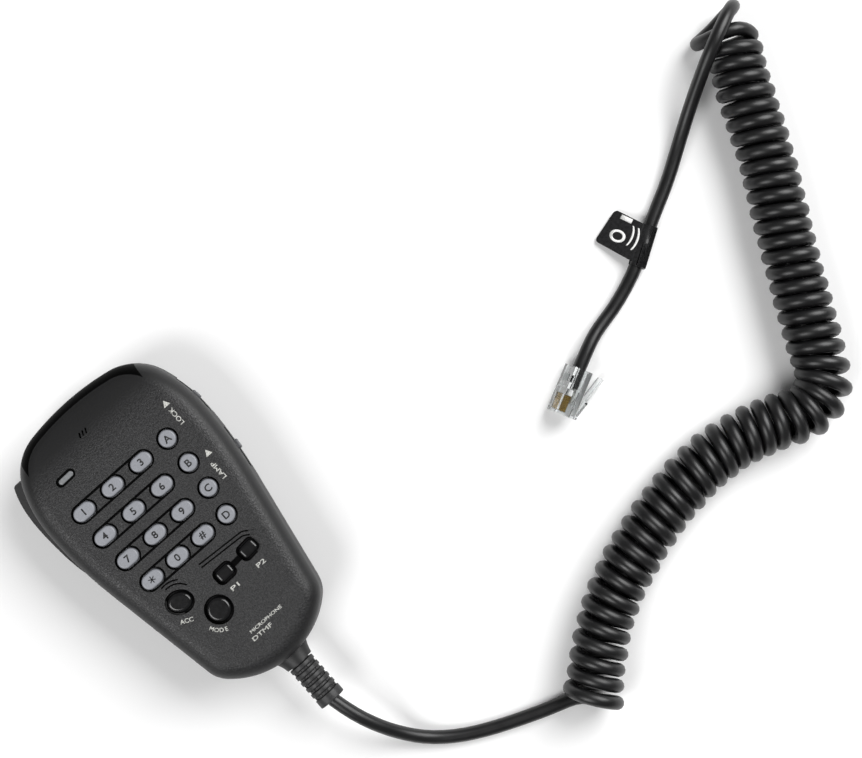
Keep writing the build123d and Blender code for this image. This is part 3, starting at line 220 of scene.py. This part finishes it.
RING_LEAN = 0.014         # a turn faces along the axis as it is averaged over this far each side
END_SWELL = 0.0009        # the first turn's radius is this much more, which dies away over so many turns
SWOLLEN_TURNS = 1.5
PITCH_WAVER = 0.00012     # how far a turn strays along the axis, and how fast that comes and goes
PITCH_WAVER_RATE = 1.7
WIND_WAVER = 0.012        # how much a turn's radius strays, as a share, in a fast and a slow wave
WIND_WAVER_RATE = 2.3
SLOW_WAVER = 0.010
SLOW_WAVER_RATE = 0.9


def nurbs(name, points, depth=0.0):
    """A smooth open curve with those points as its control points."""
    curve = bpy.data.curves.new(name, "CURVE")
    curve.dimensions = "3D"
    spline = curve.splines.new("NURBS")
    spline.points.add(len(points) - 1)
    for place, point in zip(spline.points, points):
        place.co = (*point, 1.0)
    spline.order_u = 3
    spline.use_endpoint_u = True
    curve.bevel_depth = depth
    return curve


def line_of(points):
    """Points along the middle of the smooth curve that a route's points control, and their distances."""
    route = bpy.data.objects.new("route", nurbs("route", points))
    route.data.resolution_u = 16
    mesh = bpy.data.meshes.new_from_object(route)
    line = [vertex.co.copy() for vertex in mesh.vertices]
    bpy.data.objects.remove(route)
    bpy.data.meshes.remove(mesh)
    distances = [0.0]
    for before, after in zip(line, line[1:]):
        distances.append(distances[-1] + (after - before).length)
    return line, distances


def at(line, distances, distance):
    """The point that far along a line; past its ends it goes on straight."""
    i = 1
    while i < len(line) - 1 and distances[i] < distance:
        i += 1
    share = (distance - distances[i - 1]) / (distances[i] - distances[i - 1])
    return line[i - 1].lerp(line[i], share)


def pitch_at(distance):
    """Pitch of the turns at a distance along the coil's axis, read between the places in PITCHES."""
    for (near, pitch), (far, next_pitch) in zip(PITCHES, PITCHES[1:]):
        if distance <= far:
            return pitch + (next_pitch - pitch) * max(0.0, distance - near) / (far - near)
    return PITCHES[-1][1]


axis_line, axis_distances = line_of(COIL_AXIS)
sweep = TURNS * tau + LAST_PHASE - FIRST_PHASE
steps = round(sweep / tau * STEPS_PER_TURN)
travel = [HELIX_SPAN[0]]
for _ in range(steps):
    travel.append(travel[-1] + pitch_at(travel[-1]) / STEPS_PER_TURN)
stretch = (HELIX_SPAN[1] - HELIX_SPAN[0]) / (travel[-1] - travel[0])
helix = []
for step, distance in enumerate(travel):
    turn = step / STEPS_PER_TURN
    phase = FIRST_PHASE + sweep * step / steps
    distance = HELIX_SPAN[0] + (distance - HELIX_SPAN[0]) * stretch
    distance += PITCH_WAVER * sin(PITCH_WAVER_RATE * turn)
    centre = at(axis_line, axis_distances, distance)
    facing = at(axis_line, axis_distances, distance + RING_LEAN)
    facing = (facing - at(axis_line, axis_distances, distance - RING_LEAN)).normalized()
    up = Vector((0, 0, 1))
    left = up.cross(facing)
    wind = COIL_WIND * (
        1 + WIND_WAVER * sin(WIND_WAVER_RATE * turn) + SLOW_WAVER * sin(SLOW_WAVER_RATE * turn))
    wind += END_SWELL * max(0.0, 1 - turn / SWOLLEN_TURNS)
    centre.z += wind - COIL_WIND
    helix.append(centre + wind * (cos(phase) * up + sin(phase) * left))

cord = bpy.data.objects.new(
    "curly_cord", nurbs("curly_cord", HANDSET_LEAD + helix + LAST_TURN + PLUG_LEAD, CORD_DIAMETER / 2))
cord.data.resolution_u = 3
cord.data.bevel_resolution = 4
cord.data.use_fill_caps = True
bpy.context.collection.objects.link(cord)
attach(cord, "case")
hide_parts("cord_lead_handset", "cord_coil", "cord_lead_plug")

# Extruded PVC: almost black and glossy, with a faint unevenness left by the extruder.
cord_pvc, shader = new_material("extruded_pvc", Specular_IOR_Level=0.5)
shader.inputs["Base Color"].default_value = linear("#0C0C0D")
place = add_node(cord_pvc, "ShaderNodeTexCoord")
haze = add_node(cord_pvc, "ShaderNodeTexNoise", {"Vector": place.outputs["Object"], "Scale": 1 / 0.006})
gloss = add_node(
    cord_pvc, "ShaderNodeMapRange",
    {"Value": haze.outputs["Fac"], "From Min": 0.3, "From Max": 0.7, "To Min": 0.34, "To Max": 0.44})
cord_pvc.node_tree.links.new(gloss.outputs["Result"], shader.inputs["Roughness"])
cord.data.materials.append(cord_pvc)

# ---- strain relief ----
# A moulded PVC sleeve that keeps the cord from kinking where it leaves the case: five rings joined
# by staggered bars, and a thick collar round the cord. Its inner end is clamped between the halves.

RELIEF_HEIGHT = HANDSET_LEAD[0][2]
RELIEF_PITCH = 0.0025
FIRST_RIB_Y = -0.0603
RIBS = 5
RIB_HALF = 0.00075
RIB_RADIUS = 0.00455
CORE_RADIUS = 0.0034
BARS_ROUND = 6
BAR_HALF_TURN = radians(13)
BAR_HEIGHT = 0.00075
NECK_RADIUS = 0.00395     # the plain part, which passes through the case and ends before the first ring
NECK_END = 0.0016
COLLAR_RADIUS = 0.00465
COLLAR_LENGTH = 0.003
GROOVE_REACH = 0.0002     # a face this near the middle of a groove lies in it
CORE_REACH = 0.0001       # and this near the core's radius it is the core's own
RELIEF_SIDES = 60
RELIEF_ROUNDING = 0.00025
relief_low, relief_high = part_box("strain_relief")

profile = [(FIRST_RIB_Y + NECK_END, NECK_RADIUS), (FIRST_RIB_Y + NECK_END, CORE_RADIUS)]
for i in range(RIBS):
    rib_y = FIRST_RIB_Y - i * RELIEF_PITCH
    for edge_y, radius in ((rib_y + RIB_HALF, CORE_RADIUS), (rib_y + RIB_HALF, RIB_RADIUS),
                           (rib_y - RIB_HALF, RIB_RADIUS), (rib_y - RIB_HALF, CORE_RADIUS)):
        profile.append((edge_y, radius))
collar_y = relief_low.y + COLLAR_LENGTH
profile += [(collar_y, CORE_RADIUS), (collar_y, COLLAR_RADIUS), (relief_low.y, COLLAR_RADIUS)]

bpy.ops.mesh.primitive_circle_add(
    vertices=RELIEF_SIDES, radius=NECK_RADIUS, fill_type="NGON",
    location=(0, relief_high.y, RELIEF_HEIGHT), rotation=(pi / 2, 0, 0))
relief = bpy.context.object
relief.name = "ribbed_strain_relief"
bpy.ops.object.transform_apply(location=True, rotation=True, scale=True)
bpy.ops.object.mode_set(mode="EDIT")
y, radius = relief_high.y, NECK_RADIUS
for next_y, next_radius in profile:
    bpy.ops.mesh.extrude_region_move(TRANSFORM_OT_translate={"value": (0, next_y - y, 0)})
    ratio = next_radius / radius
    bpy.ops.transform.resize(value=(ratio, 1, ratio), center_override=(0, next_y, RELIEF_HEIGHT))
    y, radius = next_y, next_radius
bpy.ops.mesh.select_all(action="SELECT")
bpy.ops.mesh.normals_make_consistent(inside=False)
bpy.ops.mesh.select_all(action="DESELECT")
bpy.ops.mesh.select_mode(type="FACE")
bpy.ops.object.mode_set(mode="OBJECT")
for face in relief.data.polygons:
    away = face.center - Vector((0, face.center.y, RELIEF_HEIGHT))
    groove = round((FIRST_RIB_Y - face.center.y) / RELIEF_PITCH - 0.5)
    in_groove = abs(FIRST_RIB_Y - (groove + 0.5) * RELIEF_PITCH - face.center.y) < GROOVE_REACH
    turn = (atan2(away.z, away.x) + (groove % 2) * pi / BARS_ROUND) % (tau / BARS_ROUND)
    at_bar = min(turn, tau / BARS_ROUND - turn) < BAR_HALF_TURN
    flat_wall = abs(face.normal.y) < 0.1 and away.length < CORE_RADIUS + CORE_REACH
    face.select = in_groove and at_bar and flat_wall and 0 <= groove < RIBS
bpy.ops.object.mode_set(mode="EDIT")
bpy.ops.mesh.extrude_region_shrink_fatten(TRANSFORM_OT_shrink_fatten={"value": BAR_HEIGHT})
bpy.ops.object.mode_set(mode="OBJECT")
rounding = relief.modifiers.new("rounding", "BEVEL")
rounding.width = RELIEF_ROUNDING
rounding.segments = 3
rounding.limit_method = "ANGLE"
bpy.ops.object.modifier_apply(modifier="rounding")
bpy.ops.object.shade_smooth_by_angle(angle=radians(40))
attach(relief, "case")
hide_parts("strain_relief")


def moulded(name, dark, light, grain, roughness, depth=0.0, **constants):
    """A material between two colours over a noise of that grain, with a roughness range and a bump."""
    material, shader = new_material(name, **constants)
    place = add_node(material, "ShaderNodeTexCoord")
    noise = add_node(
        material, "ShaderNodeTexNoise",
        {"Vector": place.outputs["Object"], "Scale": 1 / grain, "Detail": 3.0})
    spread = add_node(
        material, "ShaderNodeMapRange", {"Value": noise.outputs["Fac"], "From Min": 0.35, "From Max": 0.65})
    tint = add_node(
        material, "ShaderNodeMixRGB",
        {"Fac": spread.outputs["Result"], "Color1": linear(dark), "Color2": linear(light)})
    gloss = add_node(
        material, "ShaderNodeMapRange",
        {"Value": noise.outputs["Fac"], "To Min": roughness[0], "To Max": roughness[1]})
    bump = add_node(
        material, "ShaderNodeBump",
        {"Height": spread.outputs["Result"], "Distance": depth, "Strength": 1.0 if depth else 0.0})
    links = material.node_tree.links
    links.new(tint.outputs["Color"], shader.inputs["Base Color"])
    links.new(gloss.outputs["Result"], shader.inputs["Roughness"])
    links.new(bump.outputs["Normal"], shader.inputs["Normal"])
    return material


# Soft PVC: a dull black with the faint mottle of a moulded rubbery surface.
relief_pvc = moulded("moulded_soft_pvc", "#151516", "#232324", 0.0006, (0.42, 0.55), 0.00002)
relief.data.materials.append(relief_pvc)


def clothe(material, *names):
    """Give CAD nodes that material and no other."""
    for name in names:
        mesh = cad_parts[name].data
        mesh.materials.clear()
        mesh.materials.append(material)


clothe(relief_pvc, "strain_relief")
clothe(cord_pvc, "cord_lead_handset", "cord_coil", "cord_lead_plug", "cord_inner_end", "plug_jacket_end")

# ---- case halves ----
# Two injection-moulded shells of black ABS, screwed together from the back. The front face has a
# coarse leather-like grain from its mould, which fades out on the rolled rim and the side walls.

GRAIN = 0.00055           # size of one pebble of the grain
GRAIN_DEPTH = 0.00007
CROWN_Y = 0.028           # where the face starts to fall away towards the top end, on this radius
CROWN_RADIUS = 0.063
GRAIN_FROM, GRAIN_FULL = 0.0262, 0.0276       # heights between which the grain comes up
RECESS_FLOOR = 0.02768    # lower than this, measured from the crown's own fall, is a recess
RECESS_HALF_WIDTH = 0.022           # half the width that holds recesses, at y = 0, its slope and its most
RECESS_SLOPE = 0.3
RECESS_WIDEST = 0.024
RECESS_FOOT_Y = -0.036
case_abs, shader = new_material("grained_abs")
place = add_node(case_abs, "ShaderNodeTexCoord")
wander = add_node(
    case_abs, "ShaderNodeTexNoise", {"Vector": place.outputs["Object"], "Scale": 1 / GRAIN, "Detail": 2.0})
pebble = add_node(
    case_abs, "ShaderNodeMapRange", {"Value": wander.outputs["Fac"], "From Min": 0.38, "From Max": 0.62})
apart = add_node(case_abs, "ShaderNodeSeparateXYZ", {"Vector": place.outputs["Object"]})
on_face = add_node(
    case_abs, "ShaderNodeMapRange",
    {"Value": apart.outputs["Z"], "From Min": GRAIN_FROM, "From Max": GRAIN_FULL, "To Min": 0.12,
     "To Max": 1.0})
height = add_node(
    case_abs, "ShaderNodeMath", {0: pebble.outputs["Result"], 1: on_face.outputs["Result"]},
    operation="MULTIPLY")
relief_bump = add_node(
    case_abs, "ShaderNodeBump",
    {"Height": height.outputs["Value"], "Distance": GRAIN_DEPTH, "Strength": 1.0})
# The tops of the pebbles are painted paler than the hollows between them, a painted highlight where the
# grain catches the light.
tint = add_node(
    case_abs, "ShaderNodeMixRGB",
    {"Fac": height.outputs["Value"], "Color1": linear("#0C0C0D"), "Color2": linear("#262627")})
gloss = add_node(
    case_abs, "ShaderNodeMapRange", {"Value": height.outputs["Value"], "To Min": 0.50, "To Max": 0.40})
# The deep recesses and engraved rules of the face get painted shade, near black and almost without specular,
# so they read as black lines.
# They are found by their depth below the crown, within an area that narrows towards the cord end.
across_face = add_node(case_abs, "ShaderNodeMath", {0: apart.outputs["X"]}, operation="ABSOLUTE")
sloped_limit = add_node(
    case_abs, "ShaderNodeMath", {0: apart.outputs["Y"], 1: RECESS_SLOPE, 2: RECESS_HALF_WIDTH},
    operation="MULTIPLY_ADD")
limit = add_node(
    case_abs, "ShaderNodeMath", {0: sloped_limit.outputs["Value"], 1: RECESS_WIDEST}, operation="MINIMUM")
inside = add_node(
    case_abs, "ShaderNodeMath", {0: across_face.outputs["Value"], 1: limit.outputs["Value"]},
    operation="LESS_THAN")
above_neck = add_node(
    case_abs, "ShaderNodeMath", {0: apart.outputs["Y"], 1: RECESS_FOOT_Y}, operation="GREATER_THAN")
past_crown = add_node(case_abs, "ShaderNodeMath", {0: apart.outputs["Y"], 1: CROWN_Y}, operation="SUBTRACT")
past_crown = add_node(
    case_abs, "ShaderNodeMath", {0: past_crown.outputs["Value"], 1: 0.0}, operation="MAXIMUM")
fall = add_node(
    case_abs, "ShaderNodeMath", {0: past_crown.outputs["Value"], 1: past_crown.outputs["Value"]},
    operation="MULTIPLY")
level = add_node(
    case_abs, "ShaderNodeMath",
    {0: fall.outputs["Value"], 1: 1 / (2 * CROWN_RADIUS), 2: apart.outputs["Z"]}, operation="MULTIPLY_ADD")
sunk = add_node(
    case_abs, "ShaderNodeMath", {0: level.outputs["Value"], 1: RECESS_FLOOR}, operation="LESS_THAN")
painted_shade_mask = add_node(
    case_abs, "ShaderNodeMath", {0: inside.outputs["Value"], 1: sunk.outputs["Value"]}, operation="MULTIPLY")
painted_shade_mask = add_node(
    case_abs, "ShaderNodeMath", {0: painted_shade_mask.outputs["Value"], 1: above_neck.outputs["Value"]},
    operation="MULTIPLY")
# Painted shade: inside this mask the colour goes near black and the specular almost to nothing.
shaded = add_node(
    case_abs, "ShaderNodeMixRGB",
    {"Fac": painted_shade_mask.outputs["Value"], "Color1": tint.outputs["Color"], "Color2": linear("#030303")})
sheen = add_node(
    case_abs, "ShaderNodeMapRange", {"Value": painted_shade_mask.outputs["Value"], "To Min": 0.45, "To Max": 0.03})
links = case_abs.node_tree.links
links.new(sheen.outputs["Result"], shader.inputs["Specular IOR Level"])
links.new(shaded.outputs["Color"], shader.inputs["Base Color"])
links.new(gloss.outputs["Result"], shader.inputs["Roughness"])
links.new(relief_bump.outputs["Normal"], shader.inputs["Normal"])
clothe(case_abs, "front_shell", "rear_shell")

# ---- keys ----
# Sixteen keys moulded in pale grey ABS, twelve oval and four round, each with its legend printed in
# black on the top. Their flanges press on the silicone mat behind the face.

key_abs = moulded("pale_grey_abs", "#808287", "#8A8C92", 0.0004, (0.34, 0.42), 0.000004)
LEGENDS = {
    "key_star": "*", "key_hash": "#", "key_a": "A", "key_b": "B", "key_c": "C", "key_d": "D",
    **{f"key_{digit}": str(digit) for digit in range(10)},
}
LEGEND_HEIGHT = 0.0024
STAR_STROKE = 0.0003
PRINT_LIFT = 0.001        # how far over a key its legend is made, before it is laid down
PRINT_THICK = 0.00003
CAPITAL = 0.7             # height of a capital letter for a text size of 1
BOLDNESS = 0.03           # how much the strokes swell, as a share of the height
legend_ink = moulded("black_legend_ink", "#0B0B0C", "#161617", 0.0003, (0.45, 0.6))


def lettering(body, height, middle, width=None, turn=0.0):
    """Flat letters as a mesh, of that height and width, turned by degrees, centred on middle."""
    bpy.ops.object.text_add()
    words = bpy.context.object
    words.data.body = body
    words.data.size = height / CAPITAL
    words.data.offset = BOLDNESS * height
    bpy.ops.object.convert(target="MESH")
    corners = [vertex.co for vertex in words.data.vertices]
    low = Vector(min(corner[i] for corner in corners) for i in range(3))
    high = Vector(max(corner[i] for corner in corners) for i in range(3))
    across = width / (high.x - low.x) if width else 1.0
    stretch = Matrix.Diagonal((across, height / (high.y - low.y), 1.0, 1.0))
    turned = Matrix.Rotation(radians(turn), 4, "Z")
    centred = Matrix.Translation(-(low + high) / 2)
    words.data.transform(Matrix.Translation(middle) @ turned @ stretch @ centred)
    return words


def printed(name, shapes, onto, body, ink):
    """Join flat shapes, lay them on an object from above, give them a thickness, and let them ride."""
    bpy.ops.object.select_all(action="DESELECT")
    for shape in shapes:
        shape.select_set(True)
    bpy.context.view_layer.objects.active = shapes[0]
    bpy.ops.object.join()
    ink_layer = bpy.context.object
    ink_layer.name = name
    wrap = ink_layer.modifiers.new("lay", "SHRINKWRAP")
    wrap.target = onto
    wrap.wrap_method = "PROJECT"
    wrap.use_project_z = True
    wrap.use_negative_direction = True
    wrap.use_positive_direction = False
    bpy.ops.object.modifier_apply(modifier="lay")
    body_of_ink = ink_layer.modifiers.new("thickness", "SOLIDIFY")
    body_of_ink.thickness = PRINT_THICK
    body_of_ink.offset = 1.0
    bpy.ops.object.modifier_apply(modifier="thickness")
    ink_layer.data.materials.append(ink)
    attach(ink_layer, body)
    ink_layer.select_set(False)


for key, legend in LEGENDS.items():
    low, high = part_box(key)
    clothe(key_abs, key)
    key_middle = Vector(((low.x + high.x) / 2, (low.y + high.y) / 2, high.z + PRINT_LIFT))
    if legend == "*":
        shapes = [lettering("I", LEGEND_HEIGHT, key_middle, STAR_STROKE, turn) for turn in (0, 60, 120)]
    else:
        shapes = [lettering(legend, LEGEND_HEIGHT, key_middle)]
    printed("legend_" + key, shapes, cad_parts[key], key, legend_ink)

# ---- face buttons ----
# Four glossy black ABS buttons: P1 and P2, the oval accessory button and the round mode button.
# Polished in the mould, so they stay smooth beside the grained face.

button_abs = moulded("polished_black_abs", "#0A0A0B", "#111112", 0.0015, (0.16, 0.24), 0.000003)
clothe(button_abs, "button_p1", "button_p2", "button_acc", "button_mode", "up_button", "down_button")

# ---- markings on the face ----
# Off-white pad printing: the names of the buttons, the two slide switches with their arrows, and two
# lines at the cord end. The ink lies on the grain, so its edges are slightly broken.

PRINT_Z = 0.035           # above the face, before the print is laid down on it
MODE_MIDDLE = (-0.0062, -0.0290)
MODE_LETTER_RADIUS = 0.0065
MODE_LETTER_TURN = 14.0
MODE_LETTERS_AT = -131.0
MODE_LETTER_HEIGHT = 0.0014
ARROW_RADIUS = 0.0014
marking_ink = moulded("off_white_pad_ink", "#8E8E8A", "#CFCFCA", 0.0003, (0.5, 0.6))


def arrow(x, y):
    """Solid arrowhead pointing towards the top end, its tip at x, y."""
    bpy.ops.mesh.primitive_circle_add(vertices=3, radius=ARROW_RADIUS, fill_type="NGON")
    head = bpy.context.object
    head.data.transform(Matrix.Translation((x, y - ARROW_RADIUS, PRINT_Z)))
    return head


markings = [
    lettering("P2", 0.0015, Vector((0.0134, -0.0267, PRINT_Z)), 0.0033),
    lettering("P1", 0.0015, Vector((0.0024, -0.0269, PRINT_Z)), 0.0031),
    lettering("ACC", 0.0015, Vector((-0.0162, -0.0249, PRINT_Z)), 0.0044, -25),
    lettering("MICROPHONE", 0.00115, Vector((0.00285, -0.0410, PRINT_Z)), 0.0128),
    lettering("DTMF", 0.0014, Vector((-0.0006, -0.0433, PRINT_Z)), 0.0078),
    lettering("LOCK", 0.0016, Vector((0.0240, 0.02575, PRINT_Z)), 0.0063, 90),
    lettering("LAMP", 0.0016, Vector((0.0227, 0.00415, PRINT_Z)), 0.0063, 90),
    arrow(0.0240, 0.0321),
    arrow(0.0238, 0.0117),
]
for i, letter in enumerate("MODE"):
    turn = MODE_LETTERS_AT + (i - 1.5) * MODE_LETTER_TURN
    letter_middle = Vector((
        MODE_MIDDLE[0] + MODE_LETTER_RADIUS * cos(radians(turn)),
        MODE_MIDDLE[1] + MODE_LETTER_RADIUS * sin(radians(turn)), PRINT_Z))
    markings.append(lettering(letter, MODE_LETTER_HEIGHT, letter_middle, None, turn + 90))
printed("face_markings", markings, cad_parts["front_shell"], "case", marking_ink)

# ---- push-to-talk lever and slide switches ----
# The lever is satin black ABS, worn a little by the thumb. The two sliders are grey nylon behind
# their windows in the right wall.

lever_abs = moulded("satin_black_abs", "#101011", "#1C1C1D", 0.0009, (0.38, 0.5), 0.00001)
clothe(lever_abs, "ptt_lever")
slider_nylon = moulded("grey_nylon", "#4A4B4D", "#5C5D60", 0.0005, (0.42, 0.55), 0.000006)
clothe(slider_nylon, "lock_slider", "lamp_slider")

# ---- indicator window ----
# A clear acrylic light pipe, frosted underneath, in a recess above the keys, with its lamp behind.

lens_acrylic = moulded(
    "frosted_acrylic", "#808284", "#8E9092", 0.0008, (0.18, 0.3), Transmission_Weight=0.25, IOR=1.49)
clothe(lens_acrylic, "indicator_lens")
led_resin = moulded("milky_led_resin", "#C9C7BC", "#DAD8CC", 0.0005, (0.3, 0.4))
clothe(led_resin, "indicator_led")

# ---- inside the case ----
# Silicone keypad mat and capsule boot, fibreglass boards with a green mask, black and cream moulded
# components, and the steel can of the capsule. They show only through the slits and gaps.

silicone = moulded("grey_silicone", "#2A2B2D", "#36373A", 0.0012, (0.6, 0.75), 0.00001)
clothe(silicone, "keypad_mat", "capsule_boot")
fibreglass = moulded("green_masked_fibreglass", "#0F3B23", "#1B5233", 0.0007, (0.3, 0.45), 0.00001)
clothe(fibreglass, "circuit_board", "switch_board")
epoxy = moulded("black_epoxy", "#151515", "#222222", 0.0004, (0.5, 0.65), 0.000006)
clothe(epoxy, "encoder_chip", "ptt_switch", "top_switches")
cream_nylon = moulded("cream_nylon", "#D8CFB4", "#E4DCC4", 0.0009, (0.4, 0.55))
clothe(cream_nylon, "cord_socket")
can_steel = moulded("drawn_steel_can", "#A8A8A4", "#BCBCB8", 0.0012, (0.22, 0.34), Metallic=1.0)
clothe(can_steel, "crystal", "mic_capsule")
sleeve_film = moulded("printed_capacitor_sleeve", "#10203F", "#1A2E57", 0.0011, (0.3, 0.4))
clothe(sleeve_film, "board_capacitor")

# ---- hanger button and fasteners ----
# The hanger button is turned brass with nickel plating, dulled by the metal hanger that it slides
# into. Screws, the hinge pin and the switch cases are steel.

nickel = moulded("nickel_plate", "#B9B7B0", "#CBC9C3", 0.0009, (0.2, 0.36), 0.000003, Metallic=1.0)
clothe(nickel, "hanger_button")
screw_steel = moulded("blackened_screw_steel", "#4B4B4D", "#626264", 0.0006, (0.3, 0.45), Metallic=1.0)
clothe(screw_steel, "case_screws", "board_screws", "hanger_screw")
pin_steel = moulded("ground_pin_steel", "#9B9B9B", "#B0B0B0", 0.0005, (0.2, 0.3), Metallic=1.0)
clothe(pin_steel, "ptt_pivot_pin")
switch_steel = moulded("tinned_switch_steel", "#A5A6A8", "#B8B9BB", 0.0014, (0.3, 0.45), Metallic=1.0)
clothe(switch_steel, "lock_switch", "lamp_switch")

# ---- label on the cord ----
# A black vinyl strip wrapped once round the cord, with its two ends stuck together as a flag. Plain
# white marks are printed on the flag.

TAG_RADIUS = 0.00275
TAG_LENGTH = 0.0139
TAG_WALL = 0.0003
FLAG_CORNERS = [          # from the top of the sleeve down to the table
    (0.1786, -0.0285, 0.0049),
    (0.1744, -0.0168, 0.0008),
    (0.1625, -0.0200, 0.0008),
    (0.1675, -0.0352, 0.0049),
]
FLAG_THICK = 0.0005
FLAG_ROUNDING = 0.0013
FLAG_MARK_Z = 0.01        # above the flag, before the marks are laid down on it
SEAM_LIFT = 0.00015
SEAM_UP, SEAM_ASIDE = 0.5, 0.2      # faces that look up and aside by more than this lie on the seam
tag_from, tag_to = Vector(PLUG_LEAD[6]), Vector(PLUG_LEAD[7])
tag_line = (tag_to - tag_from).normalized()
bpy.ops.mesh.primitive_cylinder_add(
    vertices=48, radius=TAG_RADIUS, depth=TAG_LENGTH, end_fill_type="NOTHING",
    location=(tag_from + tag_to) / 2, rotation=tag_line.to_track_quat("Z", "Y").to_euler())
tag = bpy.context.object
tag.name = "vinyl_label"
bpy.ops.object.transform_apply(location=True, rotation=True, scale=True)
# The strip's outer end lies on its inner end along one side: those faces stand a little higher.
for face in tag.data.polygons:
    away = face.center - (tag_from + tag_to) / 2
    away = (away - away.dot(tag_line) * tag_line).normalized()
    face.select = away.z > SEAM_UP and away.dot(tag_line.cross(Vector((0, 0, 1)))) > SEAM_ASIDE
bpy.ops.object.mode_set(mode="EDIT")
bpy.ops.mesh.extrude_region_shrink_fatten(TRANSFORM_OT_shrink_fatten={"value": SEAM_LIFT})
bpy.ops.object.mode_set(mode="OBJECT")
wall = tag.modifiers.new("wall", "SOLIDIFY")
wall.thickness = TAG_WALL
wall.offset = -1.0
bpy.ops.object.modifier_apply(modifier="wall")
bpy.ops.mesh.primitive_plane_add()
flag = bpy.context.object
for vertex, corner in zip(flag.data.vertices, (0, 3, 1, 2)):
    vertex.co = FLAG_CORNERS[corner]
bpy.ops.object.mode_set(mode="EDIT")
bpy.ops.mesh.select_all(action="SELECT")
bpy.ops.mesh.bevel(offset=FLAG_ROUNDING, segments=6, affect="VERTICES")
bpy.ops.mesh.select_all(action="SELECT")
bpy.ops.mesh.extrude_region_move(TRANSFORM_OT_translate={"value": (0, 0, FLAG_THICK)})
bpy.ops.mesh.select_all(action="SELECT")
bpy.ops.mesh.normals_make_consistent(inside=False)
bpy.ops.object.mode_set(mode="OBJECT")
tag.select_set(True)
bpy.context.view_layer.objects.active = tag
bpy.ops.object.join()
bpy.ops.object.shade_smooth_by_angle(angle=radians(35))
tag_vinyl = moulded("black_vinyl", "#131314", "#1E1E1F", 0.0010, (0.22, 0.34), 0.000004)
tag.data.materials.append(tag_vinyl)
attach(tag, "case")
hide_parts("cord_tag")
clothe(tag_vinyl, "cord_tag")

flag_ink = moulded("white_label_ink", "#D8D8D6", "#F2F2F0", 0.0004, (0.4, 0.5))
flag_marks = [
    lettering("I", 0.0039, Vector((0.1749, -0.0216, FLAG_MARK_Z)), 0.0015, 21),
    lettering("O", 0.0052, Vector((0.1690, -0.0238, FLAG_MARK_Z)), 0.0042, 29),
    lettering(")", 0.0068, Vector((0.1722, -0.0268, FLAG_MARK_Z)), 0.0014, -61),
    lettering(")", 0.0076, Vector((0.1726, -0.0287, FLAG_MARK_Z)), 0.0015, -61),
]
printed("label_marks", flag_marks, tag, "case", flag_ink)

# ---- modular plug ----
# Six-way modular plug of clear polycarbonate, crimped on the flattened end of the jacket. Its
# conductors and gold-plated contacts show through it, and its latch is a tongue of the same moulding.

clear_plastic = moulded(
    "clear_polycarbonate", "#F2F5F5", "#FBFDFD", 0.002, (0.03, 0.08), Transmission_Weight=1.0, IOR=1.58)
clothe(clear_plastic, "plug_body", "plug_latch")
contact_gold = moulded("gold_plate", "#C9A24A", "#DDB65E", 0.0006, (0.18, 0.3), Metallic=1.0)
clothe(contact_gold, "plug_contacts")
wire_pvc = moulded("wire_insulation", "#8F8F8C", "#C2C1BC", 0.0016, (0.35, 0.5))
clothe(wire_pvc, "cord_wires", "plug_conductors")

# ---- finishing ----
# The view layer is brought up to date.

bpy.context.view_layer.update()
